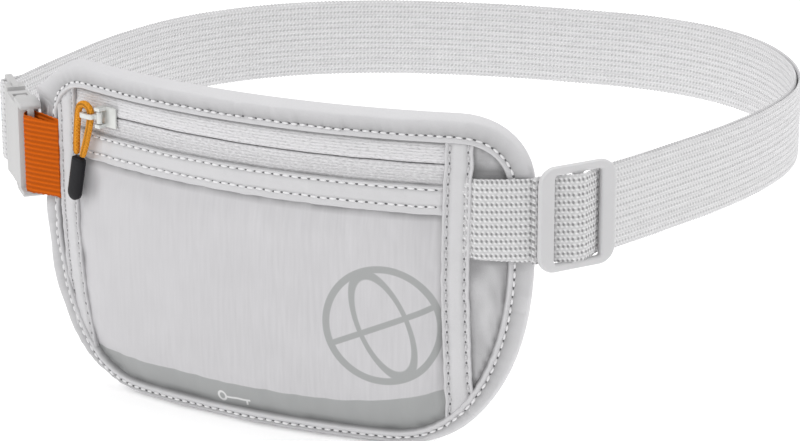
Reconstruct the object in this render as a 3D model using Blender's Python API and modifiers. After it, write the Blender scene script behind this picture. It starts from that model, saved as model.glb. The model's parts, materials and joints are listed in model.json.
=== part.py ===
"""Money belt: a slim zipped waist pouch on an adjustable webbing belt with a side-release buckle.

Metres, +Z up.  The belt stands as it is worn: the pouch's front faces -Y, the wearer stands in the
loop at the origin, and z = 0 is the middle of the webbing.

The belt line is the plan curve that the outside of the belt follows.  It is measured from the middle
of the pouch: s grows towards +X, round the right side, the back and the left side, and ends at the
buckle.  Sewn pouch pieces are drawn flat, as they are cut, with x = s, y = depth towards the wearer
and z = height, and are then wrapped round the belt line.
"""
import math

import bmesh
import bpy
import numpy as np
from mathutils import Matrix, Vector

MM = 0.001

# ---------------------------------------------------------------- driving dimensions
WEBBING_WIDTH = 32 * MM
WEBBING_THICK = 1.4 * MM
LAYER_GAP = 0.4 * MM

FRONT_RADIUS = 260 * MM          # the pouch bends round the wearer to this radius
FRONT_APEX_Y = -117 * MM
ARC_END = 80 * MM

POUCH_HALF_WIDTH = 106 * MM
POUCH_TOP, POUCH_BOTTOM = 40.3 * MM, -86 * MM
TOP_CORNER = 28 * MM
BOTTOM_CORNER_WIDTH, BOTTOM_CORNER_HEIGHT = 54 * MM, 76 * MM
BOTTOM_CORNER_POWER = 2.25       # 2 is an ellipse, more is squarer
BINDING_WIDTH, BINDING_WIDTH_BELOW = 10.5 * MM, 6 * MM
EDGE_INSET = 1.6 * MM            # from the pouch's edge to the panels inside the binding

# depths, measured outwards from the face of the front panel
BACK_PANEL = (-3.8 * MM, -3.0 * MM)
LINER = (-2.6 * MM, -2.2 * MM)
FRONT_PANEL = (-0.8 * MM, 0.0)
ZIP_TAPE = (-0.7 * MM, -0.1 * MM)
ZIP_COIL = (-1.9 * MM, -1.1 * MM)
TRIM = (0.35 * MM, 1.15 * MM)    # the facing and the two strips lie on the panels
BINDING_OUTER = (-4.6 * MM, 0.8 * MM)
BINDING_INNER = (-4.1 * MM, 0.3 * MM)

ZIP_Z = 21.6 * MM
ZIP_GAP = 1.5 * MM               # between the two tapes, where the slider's post runs
FACING_BOTTOM, FACING_TOP = 2.8 * MM, 13.7 * MM
ZIP_LEFT, ZIP_RIGHT = -83.5 * MM, 71.7 * MM
STRIP_WIDTH = 10.4 * MM
LEFT_STRIP_LINE = ((-89.3, 36), (-89.2, -16), (-87, -43), (-84.2, -59), (-79, -80))
RIGHT_STRIP_LINE = ((78.6, 36), (77.1, -6), (77.1, -28), (77.7, -46), (79, -80))
LEFT_SPLIT, RIGHT_SPLIT = -85.5 * MM, 77.4 * MM

SLIDER_S = -65 * MM
SLIDER_LENGTH, SLIDER_HEIGHT = 7.5 * MM, 8 * MM
TAB_PIVOT_OUT = 3.8 * MM         # height of the tab's barrel above the panel
TAB_LENGTH, TAB_HALF_HEIGHT, TAB_THICK = 8.6 * MM, 2.6 * MM, 1.8 * MM
TAB_BAR = 1.2 * MM               # the tab's end bar, which the cord hangs on
TAB_EYE = 4.4 * MM               # length of the tab's eye
CORD_DIAMETER = 2.8 * MM
CORD_RADIUS = 3.3 * MM           # of the cord's turn over the tab's end bar
CORD_DROP = 17.8 * MM            # from the end bar down to the grip
GRIP_LENGTH = 17.6 * MM
PULLER_TILT = math.radians(12)

GLIDE_S = 119.2 * MM
GLIDE_OUT = 1.2 * MM             # the glide's middle plane stands this far off the belt line
GLIDE_LENGTH, GLIDE_HEIGHT, GLIDE_THICK = 32 * MM, 39 * MM, 2.6 * MM
GLIDE_Z = 2.1 * MM
GLIDE_BAR, GLIDE_CENTRE_BAR, GLIDE_RAIL = 6.2 * MM, 3.6 * MM, 3.1 * MM
GLIDE_BEND_END = 196 * MM        # beyond this the webbing doesn't feel the glide move

BAR_S, BAR_OUT = -108.5 * MM, 4.2 * MM
BUCKLE_ANGLE = math.radians(135)  # the way the clip is pulled out, in plan
BUCKLE_HALF_HEIGHT = 18.5 * MM
BUCKLE_THICK = 8 * MM
BAR_HALF = 1.2 * MM              # half the side of the square bars that webbing goes round
BAR_REACH = BAR_HALF * math.sqrt(2) + 0.35 * MM
CLIP_BAR = 44 * MM               # from the socket's bar to the clip's bar
LOOP_THICK = 0.8 * MM
CLIP_BEND_START = 640 * MM       # the webbing bends from here on when the clip moves

# the belt line beyond the pouch's right end, in millimetres: right side, back, left side
ROUND_THE_WAIST = (
    (88.6, -99.8), (101, -91.5), (111, -79), (119.5, -58), (129, -28), (137.5, 2), (142.5, 32),
    (142, 62), (131.5, 92), (110, 118.5), (84, 134), (52, 140), (14, 136), (-28, 126.5), (-70, 110),
    (-105, 84), (-128, 50), (-137.5, 12), (-139, -25), (-138.8, -45), (-138.2, -60),
)
SLICE = 8 * MM                   # flat pieces are cut this often before they are bent


# ---------------------------------------------------------------- the belt line
def front_arc(s):
    """Point on the pouch's arc."""
    angle = s / FRONT_RADIUS
    centre_y = FRONT_APEX_Y + FRONT_RADIUS
    return np.array((FRONT_RADIUS * math.sin(angle), centre_y - FRONT_RADIUS * math.cos(angle)))


def spline(knots, steps=24):
    """Centripetal Catmull-Rom curve through the knots."""
    knots = [np.array(k, float) for k in knots]
    knots = [2 * knots[0] - knots[1]] + knots + [2 * knots[-1] - knots[-2]]
    points = []
    for p0, p1, p2, p3 in zip(knots, knots[1:], knots[2:], knots[3:]):
        t0 = 0.0
        t1 = t0 + math.sqrt(np.linalg.norm(p1 - p0))
        t2 = t1 + math.sqrt(np.linalg.norm(p2 - p1))
        t3 = t2 + math.sqrt(np.linalg.norm(p3 - p2))
        for t in np.linspace(t1, t2, steps, endpoint=False):
            a1 = ((t1 - t) * p0 + (t - t0) * p1) / (t1 - t0)
            a2 = ((t2 - t) * p1 + (t - t1) * p2) / (t2 - t1)
            a3 = ((t3 - t) * p2 + (t - t2) * p3) / (t3 - t2)
            b1 = ((t2 - t) * a1 + (t - t0) * a2) / (t2 - t0)
            b2 = ((t3 - t) * a2 + (t - t1) * a3) / (t3 - t1)
            points.append(((t2 - t) * b1 + (t - t1) * b2) / (t2 - t1))
    points.append(knots[-2])
    return np.array(points)


ARC_KNOTS = [front_arc(s * MM) for s in (0, 20, 40, 60, 80)]
LINE = spline(ARC_KNOTS + [(x * MM, y * MM) for x, y in ROUND_THE_WAIST])
LINE_S = np.concatenate(([0.0], np.cumsum(np.linalg.norm(np.diff(LINE, axis=0), axis=1))))
LINE_TANGENT = np.gradient(LINE, axis=0)
LINE_END = LINE_S[-1]


def belt_frame(s):
    """Point and unit tangent of the belt line at s, in plan."""
    if s <= ARC_END:
        angle = s / FRONT_RADIUS
        return front_arc(s), np.array((math.cos(angle), math.sin(angle)))
    point = np.array([np.interp(s, LINE_S, LINE[:, i]) for i in (0, 1)])
    tangent = np.array([np.interp(s, LINE_S, LINE_TANGENT[:, i]) for i in (0, 1)])
    return point, tangent / np.linalg.norm(tangent)


def belt_point(s, out=0.0):
    """Plan point at s, standing the distance out off the belt line, away from the wearer."""
    point, tangent = belt_frame(s)
    return point + out * np.array((tangent[1], -tangent[0]))


def belt_matrix(s, out, z):
    """Frame on the belt: X along it, Y towards the wearer, Z up."""
    point, tangent = belt_frame(s)
    place = belt_point(s, out)
    along = Vector((tangent[0], tangent[1], 0))
    inward = Vector((-tangent[1], tangent[0], 0))
    matrix = Matrix((along, inward, Vector((0, 0, 1)))).transposed().to_4x4()
    matrix.translation = (place[0], place[1], z)
    return matrix


# ---------------------------------------------------------------- scene, materials and objects
def clear_scene():
    for obj in list(bpy.data.objects):
        bpy.data.objects.remove(obj)


def collection(name):
    group = bpy.data.collections.new(name)
    bpy.context.scene.collection.children.link(group)
    return group


def material(name, colour, roughness, metallic=0.0):
    mat = bpy.data.materials.new(name)
    mat.use_nodes = True
    shader = mat.node_tree.nodes["Principled BSDF"]
    shader.inputs["Base Color"].default_value = (*colour, 1)
    shader.inputs["Roughness"].default_value = roughness
    shader.inputs["Metallic"].default_value = metallic
    mat.diffuse_color = (*colour, 1)
    return mat


clear_scene()
PARTS = collection("money_belt")
CUTTERS = collection("cutters")
POUCH_FABRIC = material("pouch_fabric", (0.74, 0.74, 0.75), 0.6)
LINER_FOIL = material("liner_foil", (0.72, 0.73, 0.75), 0.35, 0.8)
ZIP_FABRIC = material("zip_fabric", (0.78, 0.78, 0.79), 0.8)
ZIP_PLASTIC = material("zip_plastic", (0.7, 0.7, 0.71), 0.5)
WEBBING = material("webbing", (0.8, 0.8, 0.81), 0.85)
ORANGE_WEBBING = material("orange_webbing", (0.85, 0.25, 0.02), 0.8)
ORANGE_CORD = material("orange_cord", (0.9, 0.33, 0.05), 0.7)
GRIP_RUBBER = material("grip_rubber", (0.02, 0.02, 0.025), 0.55)
CLEAR_PLASTIC = material("clear_plastic", (0.8, 0.8, 0.82), 0.35)
BUCKLE_PLASTIC = material("buckle_plastic", (0.7, 0.71, 0.73), 0.4)
SLIDER_METAL = material("slider_metal", (0.72, 0.73, 0.72), 0.35, 0.6)


def add_object(name, mesh, mat, group=None, matrix=None):
    obj = bpy.data.objects.new(name, mesh)
    (group or PARTS).objects.link(obj)
    obj.data.materials.clear()
    if mat:
        obj.data.materials.append(mat)
    if matrix:
        obj.matrix_world = matrix
    return obj


def smooth(obj, degrees=40):
    obj.data.shade_smooth()
    obj.data.set_sharp_from_angle(angle=math.radians(degrees))
    return obj


def welded_mesh(source):
    """Evaluated mesh of a curve object, with its caps welded; the curve is removed."""
    bpy.context.view_layer.update()
    evaluated = source.evaluated_get(bpy.context.evaluated_depsgraph_get())
    mesh = bpy.data.meshes.new_from_object(evaluated)
    bpy.data.objects.remove(source)
    bm = bmesh.new()
    bm.from_mesh(mesh)
    bmesh.ops.remove_doubles(bm, verts=bm.verts, dist=1e-6)
    bm.to_mesh(mesh)
    bm.free()
    return mesh


def plate(outlines, thickness):
    """Mesh of a flat plate standing in the XZ plane, centred on y = 0.

    The first outline is the edge and any others are holes; each is a list of (x, z) points.
    """
    curve = bpy.data.curves.new("outline", "CURVE")
    curve.dimensions = "2D"
    curve.fill_mode = "BOTH"
    curve.extrude = thickness / 2
    for outline in outlines:
        line = curve.splines.new("POLY")
        line.points.add(len(outline) - 1)
        line.use_cyclic_u = True
        for point, (x, z) in zip(line.points, outline):
            point.co = (x, z, 0, 1)
    source = bpy.data.objects.new("outline", curve)
    CUTTERS.objects.link(source)
    mesh = welded_mesh(source)
    mesh.transform(Matrix.Rotation(math.radians(90), 4, "X"))
    return mesh


def box_mesh(low, high):
    bm = bmesh.new()
    bmesh.ops.create_cube(bm, size=1)
    size = [b - a for a, b in zip(low, high)]
    middle = [(a + b) / 2 for a, b in zip(low, high)]
    bmesh.ops.scale(bm, vec=size, verts=bm.verts)
    bmesh.ops.translate(bm, vec=middle, verts=bm.verts)
    mesh = bpy.data.meshes.new("box")
    bm.to_mesh(mesh)
    bm.free()
    return mesh


def boolean(obj, mesh, operation, matrix):
    cutter = add_object(f"{obj.name}_{operation.lower()}", mesh, None, CUTTERS, matrix)
    cutter.hide_render = True
    cutter.display_type = "WIRE"
    modifier = obj.modifiers.new(operation.lower(), "BOOLEAN")
    modifier.operation = operation
    modifier.object = cutter


def bevel(obj, width, segments=2):
    modifier = obj.modifiers.new("rounded", "BEVEL")
    modifier.width = width
    modifier.segments = segments
    modifier.limit_method = "ANGLE"
    modifier.angle_limit = math.radians(40)


# ---------------------------------------------------------------- outlines
def inset(outline, width, width_below=None):
    """Outline moved inwards; width_below is the move where it faces straight down."""
    points = np.array(outline)
    tangent = np.roll(points, -1, axis=0) - np.roll(points, 1, axis=0)
    tangent /= np.linalg.norm(tangent, axis=1)[:, None]
    inward = np.stack((tangent[:, 1], -tangent[:, 0]), axis=1)
    down = np.clip(inward[:, 1], 0, 1) ** 2
    below = width if width_below is None else width_below
    move = width + (below - width) * down
    return [tuple(p) for p in points + inward * move[:, None]]


def corner(centre, radii, start, end, power=2.0, steps=10):
    """Points of a rounded corner, from the start angle to the end angle in degrees."""
    points = []
    for degrees in np.linspace(start, end, steps + 1):
        x, z = math.cos(math.radians(degrees)), math.sin(math.radians(degrees))
        reach = (abs(x) ** power + abs(z) ** power) ** (-1 / power)
        points.append((centre[0] + radii[0] * x * reach, centre[1] + radii[1] * z * reach))
    return points


def pouch_outline():
    """The pouch's edge, clockwise as the front is seen, from the top middle."""
    top_centre = (POUCH_HALF_WIDTH - TOP_CORNER, POUCH_TOP - TOP_CORNER)
    low_centre = (POUCH_HALF_WIDTH - BOTTOM_CORNER_WIDTH, POUCH_BOTTOM + BOTTOM_CORNER_HEIGHT)
    low_radii = (BOTTOM_CORNER_WIDTH, BOTTOM_CORNER_HEIGHT)
    right = corner(top_centre, (TOP_CORNER, TOP_CORNER), 90, 0)
    right += corner(low_centre, low_radii, 0, -90, BOTTOM_CORNER_POWER, 16)
    left = [(-x, z) for x, z in reversed(right)]
    return right + left


def cut(outline, side):
    """The part of an outline where side(point) is positive."""
    kept = []
    for a, b in zip(outline, outline[1:] + outline[:1]):
        side_a, side_b = side(a), side(b)
        if side_a >= 0:
            kept.append(a)
        if side_a * side_b < 0:
            share = side_a / (side_a - side_b)
            kept.append(tuple(p + share * (q - p) for p, q in zip(a, b)))
    return kept


def clip(outline, axis, limit, keep_above):
    """The part of an outline on one side of x = limit (axis 0) or z = limit (axis 1)."""
    sign = 1 if keep_above else -1
    return cut(outline, lambda p: sign * (p[axis] - limit))


def clip_to(outline, region):
    """The part of an outline inside a convex, clockwise region."""
    for (ax, az), (bx, bz) in zip(region, region[1:] + region[:1]):
        outline = cut(outline, lambda p: (bz - az) * (p[0] - ax) - (bx - ax) * (p[1] - az))
    return outline


def rectangle(x0, x1, z0, z1, radius=0.0, steps=4):
    if not radius:
        return [(x0, z0), (x1, z0), (x1, z1), (x0, z1)]
    radii = (radius, radius)
    return (corner((x1 - radius, z1 - radius), radii, 90, 0, steps=steps)
            + corner((x1 - radius, z0 + radius), radii, 0, -90, steps=steps)
            + corner((x0 + radius, z0 + radius), radii, -90, -180, steps=steps)
            + corner((x0 + radius, z1 - radius), radii, 180, 90, steps=steps))


# ---------------------------------------------------------------- sewn pieces
def wrap(mesh):
    """Bend a flat mesh round the belt line."""
    bm = bmesh.new()
    bm.from_mesh(mesh)
    low = min(v.co.x for v in bm.verts)
    high = max(v.co.x for v in bm.verts)
    for k in range(math.floor(low / SLICE) + 1, math.ceil(high / SLICE)):
        geometry = bm.verts[:] + bm.edges[:] + bm.faces[:]
        bmesh.ops.bisect_plane(bm, geom=geometry, plane_co=(k * SLICE, 0, 0), plane_no=(1, 0, 0),
                               dist=1e-5)
    for vert in bm.verts:
        x, y = belt_point(vert.co.x, -vert.co.y)
        vert.co = (x, y, vert.co.z)
    bmesh.ops.triangulate(bm, faces=[f for f in bm.faces if len(f.verts) > 4])
    bm.to_mesh(mesh)
    bm.free()


def flat_mesh(outlines, depths):
    """Plate between two depths, measured outwards from the front panel's face."""
    mesh = plate(outlines, depths[1] - depths[0])
    mesh.transform(Matrix.Translation((0, -(depths[0] + depths[1]) / 2, 0)))
    return mesh


def sewn(name, outlines, depths, mat):
    mesh = flat_mesh(outlines, depths)
    wrap(mesh)
    return smooth(add_object(name, mesh, mat))


def strap(name, plan, thickness, z_low, z_high, mat):
    """Webbing standing on edge along a plan line; z_low and z_high are one value or one a point."""
    lows = z_low if hasattr(z_low, "__len__") else [z_low] * len(plan)
    highs = z_high if hasattr(z_high, "__len__") else [z_high] * len(plan)
    bm = bmesh.new()
    low = [bm.verts.new((x, y, z)) for (x, y), z in zip(plan, lows)]
    high = [bm.verts.new((x, y, z)) for (x, y), z in zip(plan, highs)]
    for i in range(len(plan) - 1):
        bm.faces.new((low[i], low[i + 1], high[i + 1], high[i]))
    mesh = bpy.data.meshes.new(name)
    bm.to_mesh(mesh)
    bm.free()
    obj = add_object(name, mesh, mat)
    modifier = obj.modifiers.new("thickness", "SOLIDIFY")
    modifier.thickness = thickness
    modifier.offset = 0
    modifier.use_even_offset = True
    return smooth(obj)


def belt_run(start, end, out, step=SLICE):
    """Plan points along the belt line at a set distance off it."""
    count = max(2, math.ceil((end - start) / step) + 1)
    return [belt_point(s, out) for s in np.linspace(start, end, count)]


def strip_outline(line, width=STRIP_WIDTH):
    """A vertical strip whose middle follows the given (s, z) points, in millimetres."""
    right = [(s * MM + width / 2, z * MM) for s, z in line]
    left = [(s * MM - width / 2, z * MM) for s, z in reversed(line)]
    return right + left


def make_pouch():
    edge = pouch_outline()
    panel = inset(edge, EDGE_INSET)
    sewn("back_panel", [panel], BACK_PANEL, POUCH_FABRIC)

    under_zip = clip(inset(edge, 2 * BINDING_WIDTH), 1, ZIP_Z - 6 * MM, False)
    sewn("rfid_liner", [under_zip], LINER, LINER_FOIL)

    front = clip(clip(panel, 0, LEFT_SPLIT, True), 0, RIGHT_SPLIT, False)
    front = clip(front, 1, FACING_TOP - 3 * MM, False)
    sewn("front_panel", [front], FRONT_PANEL, POUCH_FABRIC)
    gap = LAYER_GAP
    sewn("wing_left", [clip(panel, 0, LEFT_SPLIT - gap, False)], FRONT_PANEL, POUCH_FABRIC)
    sewn("wing_right", [clip(panel, 0, RIGHT_SPLIT + gap, True)], FRONT_PANEL, POUCH_FABRIC)

    facing = rectangle(ZIP_LEFT, ZIP_RIGHT, FACING_BOTTOM, FACING_TOP)
    sewn("zip_facing", [facing], TRIM, POUCH_FABRIC)
    inside = inset(edge, BINDING_WIDTH + gap, BINDING_WIDTH_BELOW + gap)
    for name, line in (("strip_left", LEFT_STRIP_LINE), ("strip_right", RIGHT_STRIP_LINE)):
        sewn(name, [clip_to(strip_outline(line), inside)], TRIM, POUCH_FABRIC)

    mesh = flat_mesh([edge, inset(edge, BINDING_WIDTH, BINDING_WIDTH_BELOW)], BINDING_OUTER)
    channel = flat_mesh([inset(edge, EDGE_INSET - gap), inset(edge, BINDING_WIDTH + 4 * MM)],
                        BINDING_INNER)
    flat_ring = add_object("edge_binding_flat", mesh, None, CUTTERS)
    boolean(flat_ring, channel, "DIFFERENCE", Matrix.Identity(4))
    bpy.context.view_layer.update()
    evaluated = flat_ring.evaluated_get(bpy.context.evaluated_depsgraph_get())
    ring = bpy.data.meshes.new_from_object(evaluated)
    bpy.data.objects.remove(flat_ring)
    wrap(ring)
    smooth(add_object("edge_binding", ring, POUCH_FABRIC))


def make_zip():
    """Two tapes with a coil on the inside of each, and a stop across each end."""
    half = ZIP_GAP / 2
    upper = clip(inset(pouch_outline(), EDGE_INSET), 1, ZIP_Z + half, True)
    upper = clip(clip(upper, 0, LEFT_SPLIT, True), 0, RIGHT_SPLIT, False)
    sewn("zip_tape_upper", [upper], ZIP_TAPE, ZIP_FABRIC)
    lower = rectangle(LEFT_SPLIT, RIGHT_SPLIT, FACING_TOP - 2.6 * MM, ZIP_Z - half)
    sewn("zip_tape_lower", [lower], ZIP_TAPE, ZIP_FABRIC)

    coil_height = 1.7 * MM
    left, right = ZIP_LEFT + 8 * MM, ZIP_RIGHT - 3 * MM
    low = ZIP_Z - half - coil_height
    sewn("zip_coil_upper", [rectangle(left, right, ZIP_Z + half, ZIP_Z + half + coil_height)],
         ZIP_COIL, ZIP_PLASTIC)
    sewn("zip_coil_lower", [rectangle(left, right, low, ZIP_Z - half)], ZIP_COIL, ZIP_PLASTIC)

    stop_length = 2.4 * MM
    for name, start in (("zip_top_stop", left - stop_length - LAYER_GAP),
                        ("zip_bottom_stop", right + LAYER_GAP)):
        stop = rectangle(start, start + stop_length, low, ZIP_Z + half + coil_height, 0.6 * MM)
        sewn(name, [stop], ZIP_COIL, SLIDER_METAL)


def make_slider():
    """Slider with its post and bridge, swinging tab, cord loop and moulded grip."""
    centre_y = FRONT_APEX_Y + FRONT_RADIUS
    axis = bpy.data.objects.new("slider_axis", None)
    axis.location = (0, centre_y, 0)
    PARTS.objects.link(axis)
    bpy.context.view_layer.update()

    frame = belt_matrix(SLIDER_S, 0, ZIP_Z)
    length, height = SLIDER_LENGTH / 2, SLIDER_HEIGHT / 2
    front, back = (-1.5 * MM, -0.5 * MM), (2.15 * MM, 2.65 * MM)
    body = add_object("zip_slider", box_mesh((-length, front[0], -height), (length, front[1], height)),
                      SLIDER_METAL, matrix=frame)
    bevel(body, 0.3 * MM)
    post = box_mesh((-length + 0.4 * MM, -1.0 * MM, -0.5 * MM), (-length / 3, back[1] - 0.2 * MM, 0.5 * MM))
    boolean(body, post, "UNION", frame)
    rear = box_mesh((-length, back[0], -height * 0.8), (length, back[1], height * 0.8))
    boolean(body, rear, "UNION", frame)
    for side in (-1, 1):
        foot = sorted((side * 2.6 * MM, side * 3.9 * MM))
        ear = box_mesh((-length + 0.2 * MM, -TAB_PIVOT_OUT - 1.3 * MM, foot[0]),
                       (-length + 2.8 * MM, -1.2 * MM, foot[1]))
        boolean(body, ear, "UNION", frame)
    body.parent = axis
    body.matrix_parent_inverse = axis.matrix_world.inverted()

    # the tab is a ring seen edge on; it points left and turns on a barrel between the slider's ears
    pivot = frame @ Matrix.Translation((-length + 1.5 * MM, -TAB_PIVOT_OUT, 0))
    lying = pivot @ Matrix.Rotation(math.radians(90), 4, "X")
    half = TAB_HALF_HEIGHT
    ring = rectangle(-TAB_LENGTH, -2 * MM, -half, half, 1.2 * MM)
    eye_left = -TAB_LENGTH + TAB_BAR
    hole = rectangle(eye_left, eye_left + TAB_EYE, -1.75 * MM, 1.75 * MM, 0.6 * MM, steps=2)
    tab = add_object("pull_tab", plate([ring, hole], TAB_THICK), SLIDER_METAL, matrix=lying)
    barrel = plate([corner((0, 0), (1.1 * MM, 1.1 * MM), 0, -330, steps=11)], 4.4 * MM)
    boolean(tab, barrel, "UNION", lying)
    neck = box_mesh((-2.4 * MM, -0.9 * MM, -0.7 * MM), (0, 0.9 * MM, 0.7 * MM))
    boolean(tab, neck, "UNION", lying)

    # the cord goes up through the ring, over its end and down again, and the grip joins its legs
    hanger = Matrix.Translation((-TAB_LENGTH + TAB_BAR / 2, 0, 0))
    swing = pivot @ hanger @ Matrix.Rotation(PULLER_TILT, 4, "Y")
    right = [(1.5 * MM, -CORD_DROP), (2.7 * MM, -10 * MM), (CORD_RADIUS, -3 * MM)]
    left = [(-x, z) for x, z in reversed(right)]
    top = corner((0, 0.4 * MM), (CORD_RADIUS, CORD_RADIUS), 0, 180)
    route = spline(right + top + left, 3)
    curve = bpy.data.curves.new("puller_cord", "CURVE")
    curve.dimensions = "3D"
    curve.bevel_depth = CORD_DIAMETER / 2
    curve.bevel_resolution = 2
    curve.use_fill_caps = True
    line = curve.splines.new("POLY")
    line.points.add(len(route) - 1)
    for point, (x, z) in zip(line.points, route):
        point.co = (x, 0, z, 1)
    add_object("puller_cord", curve, ORANGE_CORD, matrix=swing)

    grip_top = -CORD_DROP - 0.3 * MM
    half_width = 3.1 * MM
    outline = rectangle(-half_width, half_width, grip_top - GRIP_LENGTH, grip_top, 2.8 * MM)
    smooth(add_object("puller_grip", plate([outline], 3.6 * MM), GRIP_RUBBER, matrix=swing))


# ---------------------------------------------------------------- webbing, glide and buckle
def bar_point():
    return belt_point(BAR_S, BAR_OUT)


def buckle_matrix():
    """Frame of the buckle: X the way the clip is pulled out, Y towards the wearer, Z up."""
    x, y = bar_point()
    turn = Matrix.Rotation(BUCKLE_ANGLE, 4, "Z")
    return Matrix.Translation((x, y, 0)) @ turn


def fold(centre, radius, start, end, steps=8):
    """Plan points round a bar, from the start angle to the end angle in radians."""
    angles = np.linspace(start, end, steps + 1)
    return [centre + radius * np.array((math.cos(a), math.sin(a))) for a in angles]


def make_belt():
    half = WEBBING_WIDTH / 2
    outer_out = -WEBBING_THICK / 2
    inner_out = -1.5 * WEBBING_THICK - LAYER_GAP

    glide_edge = GLIDE_S - GLIDE_LENGTH / 2
    start = 83.4 * MM
    near = belt_run(start, glide_edge - 0.6 * MM, 2.1 * MM, 5 * MM)
    count = len(near)
    strap("anchor_webbing", near, WEBBING_THICK,
          np.linspace(-12 * MM, -13.5 * MM, count), np.linspace(17.4 * MM, 17 * MM, count), WEBBING)

    far_edge = GLIDE_S + GLIDE_LENGTH / 2 + 0.8 * MM
    eye_end = LINE_END - 3 * MM
    gap = LAYER_GAP
    zones = (("glide_webbing", far_edge, GLIDE_BEND_END - gap),
             ("webbing", GLIDE_BEND_END, CLIP_BEND_START - gap),
             ("clip_webbing", CLIP_BEND_START, eye_end))
    for layer, out in (("outer", outer_out), ("inner", inner_out)):
        for zone, s0, s1 in zones:
            strap(f"{zone}_{layer}", belt_run(s0, s1, out), WEBBING_THICK, -half, half, WEBBING)

    # the fold round the clip's bar
    clip_bar = buckle_matrix() @ Vector((CLIP_BAR, 0, 0))
    centre = np.array((clip_bar.x, clip_bar.y))
    radius = BAR_REACH + WEBBING_THICK / 2
    outer_leg = [belt_point(eye_end + gap, outer_out), belt_point(LINE_END, outer_out - 0.2 * MM)]
    inner_leg = [belt_point(eye_end + gap, inner_out), belt_point(LINE_END, inner_out + 0.2 * MM)]
    bend = fold(centre, radius, math.pi, 2 * math.pi)
    strap("webbing_eye", outer_leg + bend + inner_leg[::-1], WEBBING_THICK, -half, half, WEBBING)

    # the loop that ties the socket to the pouch: two layers and a fold round the socket's bar
    centre = bar_point()
    tangent = belt_frame(BAR_S)[1]
    along = math.atan2(tangent[1], tangent[0])
    radius = BAR_REACH + LOOP_THICK / 2
    bend = fold(centre, radius, along + math.pi / 2, along + 3 * math.pi / 2)
    back_out, front_out = 1.6 * MM, 3.4 * MM
    end = (LEFT_STRIP_LINE[0][0] * MM) - STRIP_WIDTH / 2 - 0.5 * MM
    back_leg = belt_run(BAR_S + 6 * MM, end, back_out, 4 * MM)
    front_leg = belt_run(BAR_S + 6 * MM, end, front_out, 4 * MM)
    strap("buckle_loop", back_leg[::-1] + bend + front_leg, LOOP_THICK,
          -15.9 * MM, 15.1 * MM, ORANGE_WEBBING)


def make_glide():
    """Tri-glide and the webbing that goes under, over and under its bars."""
    frame = belt_matrix(GLIDE_S, GLIDE_OUT + GLIDE_THICK, GLIDE_Z)
    half_l, half_h = GLIDE_LENGTH / 2, GLIDE_HEIGHT / 2
    edge = rectangle(-half_l, half_l, -half_h, half_h, 4 * MM)
    window_h = half_h - GLIDE_RAIL
    inner, outer = GLIDE_CENTRE_BAR / 2, half_l - GLIDE_BAR
    holes = [rectangle(inner, outer, -window_h, window_h, 1 * MM, 2),
             rectangle(-outer, -inner, -window_h, window_h, 1 * MM, 2)]
    smooth(add_object("tri_glide", plate([edge] + holes, GLIDE_THICK), CLEAR_PLASTIC, matrix=frame))

    under = GLIDE_THICK / 2 + 0.35 * MM + WEBBING_THICK / 2
    right = [(inner + 0.2 * MM, -under), (inner + 1.9 * MM, -under + 1.1 * MM),
             (outer - 2.1 * MM, under - 1.4 * MM), (outer - 0.4 * MM, under), (half_l - 0.4 * MM, under)]
    profile = [(-x, y) for x, y in reversed(right)] + right
    plan = []
    for x, y in profile:
        place = frame @ Vector((x, y, 0))
        plan.append(np.array((place.x, place.y)))
    half = WEBBING_WIDTH / 2
    strap("webbing_bight", plan, WEBBING_THICK, GLIDE_Z - half, GLIDE_Z + half, WEBBING)


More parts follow.
